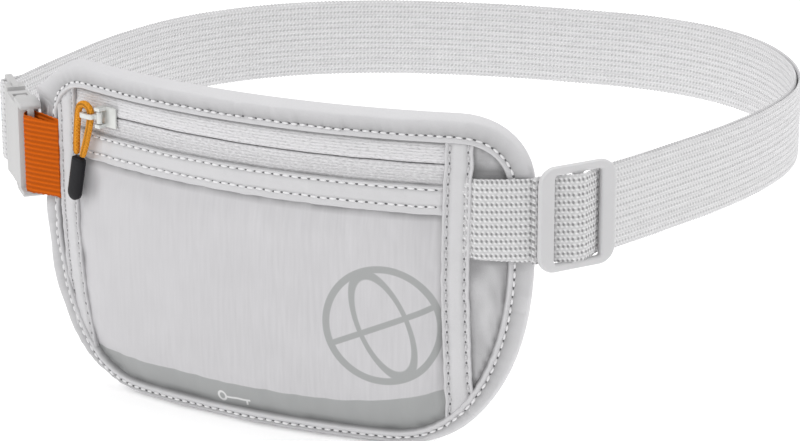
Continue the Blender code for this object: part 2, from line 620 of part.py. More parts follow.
def make_buckle():
    frame = buckle_matrix()
    half, thick = BUCKLE_HALF_HEIGHT, BUCKLE_THICK

    # socket: a wide foot with the bar, a narrower mouth, and a window in each side
    foot, mouth, waist = 12 * MM, 27 * MM, half - 2 * MM
    edge = [(-BAR_HALF, half - 1 * MM), (-0.2 * MM, half), (foot - 1 * MM, half), (foot, half - 1 * MM),
            (foot + 1.5 * MM, waist), (mouth - 1.5 * MM, waist), (mouth, waist - 1.5 * MM)]
    edge += [(x, -z) for x, z in reversed(edge)]
    slot = rectangle(BAR_HALF, 4.5 * MM, -half + 2.2 * MM, half - 2.2 * MM)
    socket = add_object("buckle_socket", plate([edge, slot], thick), BUCKLE_PLASTIC, matrix=frame)
    cavity = box_mesh((8 * MM, -2.4 * MM, -14 * MM), (mouth + 1 * MM, 2.4 * MM, 14 * MM))
    boolean(socket, cavity, "DIFFERENCE", frame)
    for side in (-1, 1):
        window = box_mesh((13.5 * MM, -2.8 * MM, 17 * MM - 4 * MM), (22 * MM, 2.8 * MM, 20 * MM))
        boolean(socket, window, "DIFFERENCE", frame @ Matrix.Scale(side, 4, (0, 0, 1)))
        thin = box_mesh((-4 * MM, BAR_HALF, -half + 2.2 * MM), (4.5 * MM, thick, half - 2.2 * MM))
        boolean(socket, thin, "DIFFERENCE", frame @ Matrix.Rotation(math.pi * (side > 0), 4, "X"))

    # clip: a shoulder block, a frame with the webbing bar, and the centre tongue
    shoulder, tail = mouth + 0.5 * MM, CLIP_BAR + BAR_HALF
    edge = rectangle(shoulder, tail, -half, half, 2.5 * MM)
    slot = rectangle(35 * MM, CLIP_BAR - BAR_HALF, -half + 2.2 * MM, half - 2.2 * MM)
    clip_body = add_object("buckle_clip", plate([edge, slot], 2 * BAR_HALF), BUCKLE_PLASTIC, matrix=frame)
    block = box_mesh((shoulder + 0.01 * MM, -thick / 2 + 0.5 * MM, -half + 1 * MM),
                     (34 * MM, thick / 2 - 0.5 * MM, half - 1 * MM))
    boolean(clip_body, block, "UNION", frame)
    tongue = box_mesh((10 * MM, -1.4 * MM, -3 * MM), (shoulder + 1 * MM, 1.4 * MM, 3 * MM))
    boolean(clip_body, tongue, "UNION", frame)

    # prongs: a flexible arm with a barbed head whose pad stands in the socket's window
    root = 26.9 * MM
    for name, side in (("prong_upper", 1), ("prong_lower", -1)):
        edge = [(root, 8.7), (root, 10.9), (21.2 * MM, 12.4), (21.2 * MM, 15.6), (18 * MM, 16.9),
                (15.5 * MM, 15.6), (12 * MM, 12.0), (11.5 * MM, 10.4), (13.5 * MM, 9.4), (19 * MM, 9.4)]
        edge = [(x, side * z * MM) for x, z in edge]
        pivot = frame @ Matrix.Translation((root, 0, side * 9.8 * MM))
        local = [(x - root, z - side * 9.8 * MM) for x, z in edge]
        add_object(name, plate([local], 3.8 * MM), BUCKLE_PLASTIC, matrix=pivot)


make_pouch()
make_zip()
make_slider()
make_belt()
make_glide()
make_buckle()
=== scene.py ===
"""Looks of the money belt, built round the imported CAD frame.

Metres, +Z up; the pouch's front faces -Y.  Sewn pieces are shaped flat and then wrapped round the belt
line: s runs along the belt from the middle of the pouch, out is the height above the face of the front
panel, away from the wearer, and z is up.  Flat sizes are written in millimetres.
"""

import json
import math

import bmesh
import bpy
import numpy as np
from mathutils import Matrix, Vector, noise

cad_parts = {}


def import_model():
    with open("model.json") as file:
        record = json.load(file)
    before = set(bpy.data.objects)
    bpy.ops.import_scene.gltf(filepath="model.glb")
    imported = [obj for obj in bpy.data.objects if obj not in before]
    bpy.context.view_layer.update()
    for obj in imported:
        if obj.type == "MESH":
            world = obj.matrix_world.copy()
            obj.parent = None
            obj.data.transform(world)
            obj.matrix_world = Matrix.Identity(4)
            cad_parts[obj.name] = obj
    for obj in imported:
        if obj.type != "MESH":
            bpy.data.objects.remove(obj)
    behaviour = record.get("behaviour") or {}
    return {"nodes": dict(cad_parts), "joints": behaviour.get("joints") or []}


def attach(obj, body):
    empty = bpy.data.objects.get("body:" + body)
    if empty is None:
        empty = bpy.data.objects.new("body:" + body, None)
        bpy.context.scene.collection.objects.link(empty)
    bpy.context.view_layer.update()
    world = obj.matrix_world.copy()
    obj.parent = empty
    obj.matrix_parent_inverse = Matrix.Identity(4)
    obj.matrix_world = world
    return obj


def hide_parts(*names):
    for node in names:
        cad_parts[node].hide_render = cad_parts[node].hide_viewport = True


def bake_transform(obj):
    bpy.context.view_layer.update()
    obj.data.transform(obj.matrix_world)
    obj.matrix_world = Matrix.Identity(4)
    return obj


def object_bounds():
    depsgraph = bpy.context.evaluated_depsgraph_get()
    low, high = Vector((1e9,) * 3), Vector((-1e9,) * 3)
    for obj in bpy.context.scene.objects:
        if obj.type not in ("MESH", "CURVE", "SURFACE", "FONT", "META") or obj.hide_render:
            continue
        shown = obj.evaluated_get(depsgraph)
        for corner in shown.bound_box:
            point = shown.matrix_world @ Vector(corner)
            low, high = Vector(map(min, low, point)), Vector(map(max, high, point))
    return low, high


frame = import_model()
cad_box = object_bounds()

MM = 0.001

# ---- sizes, as the CAD has them, in mm
FRONT_RADIUS, FRONT_APEX_Y, ARC_END = 260.0, -117.0, 80.0
ROUND_THE_WAIST = (
    (88.6, -99.8), (101, -91.5), (111, -79), (119.5, -58), (129, -28), (137.5, 2), (142.5, 32),
    (142, 62), (131.5, 92), (110, 118.5), (84, 134), (52, 140), (14, 136), (-28, 126.5), (-70, 110),
    (-105, 84), (-128, 50), (-137.5, 12), (-139, -25), (-138.8, -45), (-138.2, -60),
)
HALF_WIDTH, TOP, BOTTOM = 106.0, 40.3, -86.0
TOP_CORNER, LOW_CORNER, LOW_CORNER_POWER = 28.0, (54.0, 76.0), 2.25
BINDING, BINDING_BELOW = 10.5, 6.0
ZIP_Z = 21.6
FACING_LOW, FACING_HIGH = 2.8, 13.7
STRIP = 10.4
LEFT_STRIP = ((-89.3, 33), (-89.2, -16), (-87, -43), (-84.2, -59), (-79.8, -80))
RIGHT_STRIP = ((78.4, 33), (77.1, -6), (77.1, -28), (77.7, -46), (79.2, -80))
WEBBING, WEBBING_THICK, LAYER_GAP = 32.0, 1.4, 0.4
GLIDE_S, GLIDE_OUT, GLIDE_Z = 119.2, 3.8, 2.1
GLIDE_LENGTH, GLIDE_HEIGHT, GLIDE_THICK = 32.0, 39.0, 2.6
GLIDE_BAR, GLIDE_CENTRE_BAR, GLIDE_RAIL = 6.2, 3.6, 3.1
GLIDE_BEND_END, CLIP_BEND_START = 196.0, 640.0
BAR_S, BAR_OUT = -108.5, 4.2
BUCKLE_ANGLE = math.radians(135)
BAR_REACH, CLIP_BAR = 2.05, 44.0

# ---- sizes of the looks, in mm, and the camera
# how far painted shade darkens the colour in seams, folds and under edges
PAINTED_SHADE_DARKNESS = 0.62
BINDING_PUFF, STRIP_HEIGHT, FACING_HEIGHT = 4.1, 1.45, 0.8
EAR_REACH = 11.5    # the binding's top left corner is drawn out towards the buckle
BINDING_STITCH, STRIP_STITCH, FACING_STITCH = 3.5, 4.0, 3.7
SLANT_FROM, LONG_END, SHORT_END = -50.0, -77.0, -71.5    # heights of the strips' slanted lower ends
FACING_START, FACING_END = -84.8, 73.0
RIBBON_STEP = 0.85
CLOTH_SLACK, CLOTH_PUSH, CLOTH_REACH = 0.012, 3.0, 2.2
CORD_RADIUS, CORD_GIRTH, CORD_DROP, LOOP_REACH = 1.38, 8.7, 17.8, 3.3
PULLER_TILT = math.radians(12)
GRIP_TOP, GRIP_LENGTH, GRIP_HALF_WIDTH, GRIP_HALF_THICK, GRIP_ROUND = 18.1, 17.6, 3.1, 1.75, 3.2
CAMERA_PLACE, CAMERA_TILT, CAMERA_TURN, LENS = (0.5139, -1.0086, 0.3347), 71.62, 27, 135


# ---- lines of points
def lengths(points):
    """Distance of each point along a line, from 0."""
    return np.concatenate(([0.0], np.cumsum(np.linalg.norm(np.diff(points, axis=0), axis=1))))


def sampled(points, places):
    """Flat points at the given distances along a line."""
    along = lengths(points)
    return np.stack([np.interp(places, along, points[:, i]) for i in (0, 1)], -1)


def unit(vectors):
    return vectors / np.linalg.norm(vectors, axis=-1, keepdims=True)


def right_of(tangent):
    """Directions to the right of flat tangents."""
    return np.stack((tangent[..., 1], -tangent[..., 0]), -1)


def between(a, b, low, high, t):
    """From a where t is low to b where t is high."""
    return ((high - t) * a + (t - low) * b) / (high - low)


def spline(knots, steps=24):
    """Centripetal Catmull-Rom curve through the knots."""
    knots = [np.array(k, float) for k in knots]
    knots = [2 * knots[0] - knots[1]] + knots + [2 * knots[-1] - knots[-2]]
    points = []
    for p0, p1, p2, p3 in zip(knots, knots[1:], knots[2:], knots[3:]):
        t0, t1, t2, t3 = np.cumsum([0.0] + [math.sqrt(np.linalg.norm(b - a))
                                            for a, b in ((p0, p1), (p1, p2), (p2, p3))])
        for t in np.linspace(t1, t2, steps, endpoint=False):
            a, b, c = (between(*ends, t) for ends in ((p0, p1, t0, t1), (p1, p2, t1, t2), (p2, p3, t2, t3)))
            a, b = between(a, b, t0, t2, t), between(b, c, t1, t3, t)
            points.append(between(a, b, t1, t2, t))
    points.append(knots[-2])
    return np.array(points)


# ---- the belt line
def arc(s):
    """Points and tangents on the pouch's arc."""
    angle = s / FRONT_RADIUS
    point = np.stack((FRONT_RADIUS * np.sin(angle),
                      FRONT_APEX_Y + FRONT_RADIUS * (1 - np.cos(angle))), -1)
    return point, np.stack((np.cos(angle), np.sin(angle)), -1)


LINE = spline(list(arc(np.arange(0, 81, 20))[0]) + list(ROUND_THE_WAIST))
LINE_S = lengths(LINE)
LINE_TANGENT = np.gradient(LINE, axis=0)
LINE_END = LINE_S[-1]


def belt(s, out=0.0):
    """Plan points in mm at s, standing out off the belt line."""
    s = np.asarray(s, float)
    on_arc, arc_tangent = arc(s)
    free, free_tangent = (np.stack([np.interp(s, LINE_S, values[:, i]) for i in (0, 1)], -1)
                          for values in (LINE, LINE_TANGENT))
    front = (s <= ARC_END)[..., None]
    point = np.where(front, on_arc, free)
    tangent = np.where(front, arc_tangent, unit(free_tangent))
    return point + np.asarray(out, float)[..., None] * right_of(tangent)


def wrap(flat):
    """World points from an array of (s, out, z) in mm."""
    flat = np.asarray(flat, float)
    plan = belt(flat[..., 0], flat[..., 1])
    return np.concatenate((plan, flat[..., 2:]), -1) * MM


def heading(s):
    """Direction of the belt line at s, in radians."""
    x, y = belt(s + 0.5) - belt(s - 0.5)
    return math.atan2(y, x)


def belt_matrix(s, out, z):
    """Frame on the belt: X along it, Y towards the wearer, Z up."""
    x, y = belt(s, out)
    return Matrix.Translation((x * MM, y * MM, z * MM)) @ Matrix.Rotation(heading(s), 4, "Z")


def buckle_matrix():
    x, y = belt(BAR_S, BAR_OUT) * MM
    return Matrix.Translation((x, y, 0)) @ Matrix.Rotation(BUCKLE_ANGLE, 4, "Z")


# ---- material nodes as expressions
def put(node, **values):
    """Set inputs by name, with _ for a space."""
    for name, value in values.items():
        node.inputs[name.replace("_", " ")].default_value = value


class Field:
    """A value that varies over a surface; arithmetic on it adds maths nodes."""

    def __init__(self, tree, socket):
        self.tree = tree
        self.socket = socket

    def maths(self, operation, *others):
        node = self.tree.nodes.new("ShaderNodeMath")
        node.operation = operation
        for place, value in zip(node.inputs, (self, *others)):
            if isinstance(value, Field):
                self.tree.links.new(value.socket, place)
            else:
                place.default_value = value
        return Field(self.tree, node.outputs[0])

    def __add__(self, other):
        return self.maths("ADD", other)

    def __sub__(self, other):
        return self.maths("SUBTRACT", other)

    def __mul__(self, other):
        return self.maths("MULTIPLY", other)

    def wave(self, pitch, phase=0.0):
        """0 to 1 and back once in every pitch."""
        return (self * (2 * math.pi / pitch) + phase).maths("COSINE") * 0.5 + 0.5

    def ramp(self, low, high):
        """0 at low, 1 at high, held outside them."""
        node = self.tree.nodes.new("ShaderNodeMapRange")
        self.tree.links.new(self.socket, node.inputs["Value"])
        put(node, From_Min=low, From_Max=high)
        return Field(self.tree, node.outputs["Result"])

    def line(self, half_width, soft=0.3):
        """1 where the value is within half_width of 0."""
        return self.maths("ABSOLUTE").ramp(half_width + soft / 2, half_width - soft / 2)

    def grain(self, other, scale, other_scale, detail=2.0):
        """Noise from 0 to 1 over this field and another, with a scale for each."""
        join = self.tree.nodes.new("ShaderNodeCombineXYZ")
        self.tree.links.new((self * scale).socket, join.inputs[0])
        self.tree.links.new((other * other_scale).socket, join.inputs[1])
        node = self.tree.nodes.new("ShaderNodeTexNoise")
        put(node, Scale=1.0, Detail=detail)
        self.tree.links.new(join.outputs[0], node.inputs["Vector"])
        return Field(self.tree, node.outputs["Fac"])


def material(name, colour, pattern, dark=0.7, roughness=0.6, bump=0.15, on_uv=True, prints=(), **sockets):
    """Principled material.  pattern(x, y) gives (shade, height), each from 0 to 1, in mm units."""
    mat = bpy.data.materials.new(name)
    mat.use_nodes = True
    tree = mat.node_tree
    new, link = tree.nodes.new, tree.links.new
    shader = tree.nodes["Principled BSDF"]
    put(shader, Roughness=roughness, **sockets)
    split = new("ShaderNodeSeparateXYZ")
    if on_uv:
        uv = new("ShaderNodeUVMap")
        uv.uv_map = "flat"
        link(uv.outputs[0], split.inputs[0])
    else:
        place = new("ShaderNodeTexCoord")
        scale = new("ShaderNodeVectorMath")
        scale.operation = "SCALE"
        put(scale, Scale=1 / MM)
        link(place.outputs["Object"], scale.inputs[0])
        link(scale.outputs[0], split.inputs[0])
    x = Field(tree, split.outputs[0])
    y = Field(tree, split.outputs[1 if on_uv else 2])
    shade, height = pattern(x, y)

    def mixed(factor, under, over):
        mix = new("ShaderNodeMix")
        mix.data_type = "RGBA"
        link(factor.socket, mix.inputs["Factor"])
        if isinstance(under, list):
            put(mix, A=(*under, 1))
        else:
            link(under, mix.inputs["A"])
        put(mix, B=(*over, 1))
        return mix.outputs["Result"]

    surface = mixed(shade, [c * dark for c in colour], colour)
    for mask, ink in prints:
        surface = mixed(mask(x, y), surface, ink)
    # painted shade: a per-point attribute darkens the base colour where shade falls
    painted_shade = new("ShaderNodeAttribute")
    painted_shade.attribute_name = "painted_shade"
    keep = Field(tree, painted_shade.outputs["Fac"]) * -PAINTED_SHADE_DARKNESS + 1.0
    dim = new("ShaderNodeVectorMath")
    dim.operation = "SCALE"
    link(surface, dim.inputs[0])
    link(keep.socket, dim.inputs["Scale"])
    link(dim.outputs[0], shader.inputs["Base Color"])
    bumps = new("ShaderNodeBump")
    put(bumps, Distance=bump * MM)
    link(height.socket, bumps.inputs["Height"])
    link(bumps.outputs[0], shader.inputs["Normal"])
    return mat


# ---- patterns
def satin(x, y):
    """Close plain weave: fine specks and faint cloudiness."""
    specks = x.grain(y, 2.2, 2.2)
    clouds = x.grain(y, 0.05, 0.07)
    return specks * 0.45 + clouds * 0.55 + 0.15, specks


def silk(x, y):
    """Silky cloth with fine upright streaks."""
    streaks = x.grain(y, 0.8, 0.06)
    clouds = x.grain(y, 0.035, 0.05)
    right = x.ramp(-70.0, 30.0) * 0.6 + 0.5
    return ((streaks - 0.5) * 1.1 * right + clouds * 0.7 + 0.2).ramp(0.0, 1.0), streaks * 0.4


def zip_ribs(x, y):
    """Zip tape: level ribs with dark streaks broken into dashes, more of them below the zip."""
    ribs = y.wave(1.15)
    dashes = x.grain(y, 0.7, 2.0, 3.0)
    low = y.ramp(ZIP_Z + 2.0, ZIP_Z - 5.0)
    streaks = (dashes + low * -0.12).ramp(0.3, 0.5)
    shade = streaks * 0.45 + ribs * 0.3 + x.grain(y, 2.0, 2.0) * 0.25 + low * -0.12 + 0.1
    return shade.ramp(0.0, 1.0), streaks * 0.6 + ribs * 0.6


def crowns(x, y, along, across):
    """Woven crowns in rows; every other row is set off by half a step."""
    odd = (y * (1 / across)).maths("FLOOR").maths("MODULO", 2.0).maths("ABSOLUTE")
    return (x + odd * (along / 2)).wave(along) * (y + across / 2).wave(across)


def coarse_weave(x, y):
    """Webbing with bright round crowns and dark gaps in every second row."""
    crown = crowns(x, y, 1.7, 1.36)
    gaps = x.wave(1.7, 1.6) * y.wave(2.72)
    shade = crown * 0.8 + gaps * gaps * -1.1 + x.grain(y, 0.6, 0.9) * 0.4 + 0.38
    return shade.ramp(0.05, 1.0), crown + gaps * gaps * -0.5


def fine_weave(x, y):
    """Webbing with smaller crowns, and a slightly open line every few rows."""
    crown = crowns(x, y, 1.6, 1.15)
    gaps = x.wave(1.6, 1.6) * y.wave(2.3)
    lines = y.wave(5.1).ramp(0.75, 1.0)
    shade = crown * 0.5 + gaps * gaps * -0.8 + lines * -0.12 + x.grain(y, 0.12, 1.1) * 0.6 + 0.35
    return shade.ramp(0.05, 1.0), crown + gaps * -0.6


def orange_ribs(x, y):
    ribs = y.wave(1.85)
    specks = x.grain(y, 1.4, 3.0)
    return (ribs * 0.7 + specks * 0.5).ramp(0.1, 1.0), ribs


def braid(x, y):
    """Braided cord: two sets of strands crossing on the slant."""
    strands = (x + y).wave(1.5) * (x - y).wave(1.5)
    return strands + 0.2, strands


def moulded(x, y):
    specks = x.grain(y, 1.2, 1.2)
    clouds = x.grain(y, 0.12, 0.12)
    return specks * 0.2 + clouds * 0.6 + 0.25, specks


def grey_band(x, y):
    """Printed band along the bottom of the front panel; it rises towards the right."""
    rise = x.ramp(18.0, 73.0)
    return (y + 70.7 + rise * rise * -8.0).ramp(0.15, -0.15)


def globe(x, y):
    """Round pictogram: a tilted globe with its equator and one meridian."""
    dx, dy = x - 51.0, y + 39.5
    turn = math.radians(24)
    u = dx * math.cos(turn) + dy * math.sin(turn)
    v = dy * math.cos(turn) - dx * math.sin(turn)
    radius = 21.0
    reach = (u * u + v * v).maths("SQRT")
    rim = (reach - radius).line(1.3)
    inside = reach.ramp(radius, radius - 0.3)
    equator = v.line(1.1) * inside
    narrow = u * (1 / 0.45)
    meridian = ((narrow * narrow + v * v).maths("SQRT") - radius + 1.0).line(2.0, 0.6)
    return rim.maths("MAXIMUM", equator).maths("MAXIMUM", meridian)


def small_key(x, y):
    """Tiny pale key on the band."""
    dx, dy = x + 14.0, y + 77.0
    ring = ((dx * dx + dy * dy).maths("SQRT") - 1.7).line(0.45)
    shaft = dy.line(0.4) * (dx - 7.0).line(5.0)
    tooth = (dx - 10.6).line(0.4) * (dy + 1.0).line(1.0)
    return ring.maths("MAXIMUM", shaft).maths("MAXIMUM", tooth)


INK = (0.365, 0.372, 0.372)
SATIN = material("satin", (0.66, 0.655, 0.668), satin, dark=0.86, roughness=0.48, bump=0.1)
SILK = material("silk", (0.62, 0.612, 0.628), silk, dark=0.86, roughness=0.45, bump=0.1,
                prints=((grey_band, INK), (globe, INK), (small_key, (0.75, 0.75, 0.75))))
BACK_CLOTH = material("back_cloth", (0.68, 0.675, 0.685), satin, dark=0.8, roughness=0.7)
FOIL = material("foil", (0.7, 0.71, 0.73), moulded, dark=0.8, roughness=0.3, Metallic=0.8)
ZIP_TAPE = material("zip_tape", (0.82, 0.812, 0.828), zip_ribs, dark=0.6, roughness=0.75, bump=0.2)
COARSE = material("coarse_webbing", (0.88, 0.875, 0.885), coarse_weave, dark=0.34, roughness=0.8, bump=0.35)
FINE = material("fine_webbing", (0.84, 0.835, 0.845), fine_weave, dark=0.62, roughness=0.8, bump=0.25)
ORANGE = material("orange_webbing", (0.68, 0.125, 0.003), orange_ribs, dark=0.6, roughness=0.8, bump=0.3,
                  Specular_IOR_Level=0.12)
CORD = material("orange_cord", (1.0, 0.40, 0.03), braid, dark=0.72, roughness=0.7, bump=0.4,
                Specular_IOR_Level=0.2)
RUBBER = material("grip_rubber", (0.009, 0.0085, 0.011), moulded, roughness=0.55, bump=0.05,
                  on_uv=False, Specular_IOR_Level=0.25)
CLEAR = material("clear_plastic", (0.74, 0.735, 0.745), moulded, dark=0.93, roughness=0.35, bump=0.02,
                 on_uv=False, Transmission_Weight=0.15, IOR=1.46)
PLASTIC = material("buckle_plastic", (0.53, 0.525, 0.525), moulded, dark=0.9, roughness=0.42, bump=0.04,
                   on_uv=False)
METAL = material("slider_metal", (0.74, 0.75, 0.73), moulded, dark=0.85, roughness=0.32, bump=0.03,
                 on_uv=False, Metallic=0.35)
COIL = material("zip_coil", (0.6, 0.6, 0.61), moulded, dark=0.8, roughness=0.5, on_uv=False)
THREAD = material("thread", (0.86, 0.855, 0.865), satin, dark=0.85)
STRIP_THREAD = material("strip_thread", (0.62, 0.615, 0.625), satin, dark=0.8)
# dark dots standing in for the shade in needle holes: painted shade
HOLE_SHADE = material("needle_hole_shade", (0.15, 0.15, 0.155), satin, roughness=0.9)
WALL = material("floor_paper", (0.95, 0.95, 0.95), moulded, dark=0.99, roughness=0.9, bump=0.0, on_uv=False,
                Emission_Color=(1, 1, 1, 1), Emission_Strength=0.2)


# ---- meshes
def add_object(name, data):
    obj = bpy.data.objects.new(name, data)
    bpy.context.scene.collection.objects.link(obj)
    return obj


def smooth(mesh, mat, sharp):
    """One material and smooth shading, with edges kept sharp above an angle in degrees."""
    mesh.materials.clear()
    mesh.materials.append(mat)
    mesh.shade_smooth()
    mesh.set_sharp_from_angle(angle=math.radians(sharp))


def add_mesh(name, points, faces, mat, uv=None, painted_shade=None):
    """Object from world points; uv has one (u, v) a point, in mm, and painted shade is 1 deep in a seam."""
    mesh = bpy.data.meshes.new(name)
    mesh.from_pydata([tuple(p) for p in points], [], [tuple(f) for f in faces])
    layer = mesh.uv_layers.new(name="flat")
    if uv is not None:
        corners = np.zeros(len(mesh.loops), int)
        mesh.loops.foreach_get("vertex_index", corners)
        layer.data.foreach_set("uv", np.asarray(uv, np.float32)[corners].ravel())
    if painted_shade is not None:
        shade = mesh.attributes.new("painted_shade", "FLOAT", "POINT")
        shade.data.foreach_set("value", np.asarray(painted_shade, np.float32).ravel())
    smooth(mesh, mat, 55)
    return add_object(name, mesh)


def sew_on(obj, *nodes, body="pouch", slot="pouch_fabric"):
    """The piece stands for CAD nodes and moves with a body if there is one; slot is not used."""
    if body:
        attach(obj, body)
    if nodes:
        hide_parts(*nodes)


def tube_faces(count, ring, closed=False):
    """Faces between rings of points; open ends are capped."""
    faces = []
    for i in range(count if closed else count - 1):
        here, there = i * ring, (i + 1) % count * ring
        for j in range(ring):
            k = (j + 1) % ring
            faces.append((here + j, there + j, there + k, here + k))
    if not closed:
        faces.append(tuple(range(ring)))
        faces.append(tuple((count - 1) * ring + j for j in reversed(range(ring))))
    return faces


def ripple(*coordinates):
    """Smooth noise from -1 to 1 for arrays of coordinates."""
    grids = np.broadcast_arrays(*coordinates)
    while len(grids) < 3:
        grids = [*grids, np.zeros_like(grids[0])]
    flat = np.stack([g.ravel() for g in grids], -1)
    values = [noise.noise(Vector(p)) for p in flat.tolist()]
    return np.array(values).reshape(grids[0].shape)


def clamp(x):
    return np.clip(x, 0, 1)


def hump(x, middle, width):
    return np.exp(-((x - middle) / width) ** 2)


def level(height):
    """Underside of a band at one height."""
    return lambda d, e, along, s, z: height + 0 * s


def band(name, side_a, side_b, near_a, near_b, front, back, mat, closed=False, painted_shade=None):
    """A sewn strip between two flat edges, each an array of (s, z).

    near_a and near_b are distances in mm from each edge where the section has points.  front, back and
    the painted shade are worked out from (distance from side_a, distance from side_b, distance along, s,
    z).
    Gives the piece and a function for the line on its face at a distance from side_a.
    """
    side_a, side_b = np.asarray(side_a, float), np.asarray(side_b, float)
    width = np.linalg.norm(side_b - side_a, axis=1)[:, None]
    along = lengths((side_a + side_b) / 2)[:, None]

    def surface(shares, height):
        place = side_a[:, None] + (side_b - side_a)[:, None] * shares[..., None]
        spread = np.broadcast_to(along, shares.shape)
        facts = (shares * width, (1 - shares) * width, spread, place[..., 0], place[..., 1])
        return np.stack((place[..., 0], height(*facts), place[..., 1]), -1), facts

    def face_line(distance):
        share = distance / width if distance > 0 else 1 + distance / width
        line = surface(share, front)[0][:, 0]
        return np.concatenate((line, line[:1])) if closed else line

    shares = np.concatenate((np.array(near_a)[None] / width, 1 - np.array(near_b)[None] / width), 1)
    outer, facts = surface(shares, front)
    inner = surface(shares, back)[0]
    rings = np.concatenate((outer, inner[:, ::-1]), 1)
    dark = np.concatenate((painted_shade(*facts), 0 * inner[..., 0]), 1) if painted_shade else None
    faces = tube_faces(len(rings), rings.shape[1], closed)
    uv = rings[..., [0, 2]].reshape(-1, 2)
    return add_mesh(name, wrap(rings).reshape(-1, 3), faces, mat, uv, dark), face_line


def taken(bm):
    """Points and faces of a bmesh, which is then freed."""
    bm.verts.index_update()
    points = np.array([v.co for v in bm.verts])
    faces = [tuple(v.index for v in f.verts) for f in bm.faces]
    bm.free()
    return points, faces


def cut_cloth(outline, step):
    """Flat cloth as (points (s, z), faces): the outline cut into a grid."""
    bm = bmesh.new()
    bm.faces.new([bm.verts.new((s, 0, z)) for s, z in outline])
    points = np.array(outline)
    for axis in (0, 2):
        low, high = points[:, axis // 2].min(), points[:, axis // 2].max()
        for value in np.arange(math.ceil(low / step) * step, high, step):
            place, normal = [0, 0, 0], [0, 0, 0]
            place[axis], normal[axis] = value, 1
            bmesh.ops.bisect_plane(bm, geom=bm.verts[:] + bm.edges[:] + bm.faces[:],
                                   plane_co=place, plane_no=normal, dist=0.05)
    bmesh.ops.triangulate(bm, faces=[f for f in bm.faces if len(f.verts) > 4])
    points, faces = taken(bm)
    return points[:, [0, 2]], faces


def subdivide(obj):
    modifier = obj.modifiers.new("smooth", "SUBSURF")
    modifier.levels = 1
    modifier.render_levels = 1
    return obj


def facing_out(faces, points):
    """The faces turned so that most of them look away from the wearer."""
    a, b, c = (points[faces[0][i]] for i in range(3))
    normal = np.cross(b - a, c - a)
    return [tuple(reversed(f)) for f in faces] if normal[1] > 0 else faces


def cloth_piece(name, outline, step, height, mat, thickness=0.6, pinned=None, painted_shade=None):
    """Cloth cut to an outline, given a height above the front face and wrapped round the belt line."""
    flat, faces = cut_cloth(outline, step)
    shape = np.stack((flat[:, 0], height(flat[:, 0], flat[:, 1]), flat[:, 1]), -1)
    if pinned:
        shape = settled(shape, faces, pinned)
    points = wrap(shape)
    dark = painted_shade(flat[:, 0], flat[:, 1]) if painted_shade else None
    obj = subdivide(add_mesh(name, points, facing_out(faces, points), mat, flat, dark))
    solid = obj.modifiers.new("thickness", "SOLIDIFY")
    solid.thickness = thickness * MM
    solid.offset = -1
    return obj


# ---- outlines, in mm
def corner(centre, radii, start, end, power=2.0, steps=12):
    """Points of a rounded corner, from the start angle to the end angle in degrees."""
    points = []
    for degrees in np.linspace(start, end, steps + 1):
        x, z = math.cos(math.radians(degrees)), math.sin(math.radians(degrees))
        reach = (abs(x) ** power + abs(z) ** power) ** (-1 / power)
        points.append((centre[0] + radii[0] * x * reach, centre[1] + radii[1] * z * reach))
    return points


def pouch_outline(step):
    """The pouch's edge, clockwise from the top middle, with points a step apart."""
    right = [(0, TOP)]
    right += corner((HALF_WIDTH - TOP_CORNER, TOP - TOP_CORNER), (TOP_CORNER, TOP_CORNER), 90, 0)
    right += corner((HALF_WIDTH - LOW_CORNER[0], BOTTOM + LOW_CORNER[1]), LOW_CORNER, 0, -90,
                    LOW_CORNER_POWER, 20)
    points = np.array(right + [(-x, z) for x, z in reversed(right)])
    length = lengths(points)[-1]
    return sampled(points, np.linspace(0, length, round(length / step), endpoint=False))


def inset(points, width, width_below=None):
    """Outline moved inwards; width_below is the move where it faces straight down."""
    inward = right_of(unit(np.roll(points, -1, axis=0) - np.roll(points, 1, axis=0)))
    down = clamp(inward[:, 1]) ** 2
    below = width if width_below is None else width_below
    return points + inward * (width + (below - width) * down)[:, None]


def clipped(outline, axis, limit, keep_above):
    """The part of an outline on one side of s = limit (axis 0) or z = limit (axis 1)."""
    sign = 1 if keep_above else -1
    kept = []
    for a, b in zip(outline, np.roll(outline, -1, axis=0)):
        side_a, side_b = sign * (a[axis] - limit), sign * (b[axis] - limit)
        if side_a >= 0:
            kept.append(a)
        if side_a * side_b < 0:
            kept.append(a + side_a / (side_a - side_b) * (b - a))
    return np.array(kept)


EDGE = pouch_outline(1.2)
INNER_EDGE = inset(EDGE, BINDING, BINDING_BELOW)


def smooth_line(knots, step=1.0):
    """Even points along a smooth line through (s, z) knots."""
    fine = spline(knots)
    length = lengths(fine)[-1]
    return sampled(fine, np.linspace(0, length, max(3, round(length / step) + 1)))


# ---- stitches
DOT_SHAPE = bmesh.new()
bmesh.ops.create_uvsphere(DOT_SHAPE, u_segments=8, v_segments=5, radius=1)
DOT, DOT_FACES = taken(DOT_SHAPE)


def dots(name, places, size, mat):
    """Small ellipsoids at (s, out, z, angle) places; size is (along, out, across) in mm."""
    points, faces = [], []
    for s, out, z, angle in places:
        along = np.array((math.cos(angle), 0, math.sin(angle)))
        across = np.array((-math.sin(angle), 0, math.cos(angle)))
        base = len(points) * len(DOT)
        shape = np.outer(DOT[:, 0] * size[0], along) + np.outer(DOT[:, 2] * size[2], across)
        shape[:, 1] += DOT[:, 1] * size[1]
        points.append(shape + (s, out, z))
        faces += [tuple(base + i for i in f) for f in DOT_FACES]
    points = np.concatenate(points)
    sew_on(add_mesh(name, wrap(points), faces, mat, points[:, [0, 2]]))


def under_binding(s, z):
    """How far in mm a place is under the binding's top edge or top corners; below 0 it is in sight."""
    beside = np.clip(np.abs(s) - (HALF_WIDTH - TOP_CORNER), 0, None)
    above = np.clip(z - (TOP - TOP_CORNER), 0, None)
    return np.hypot(beside, above) - (TOP_CORNER - BINDING)


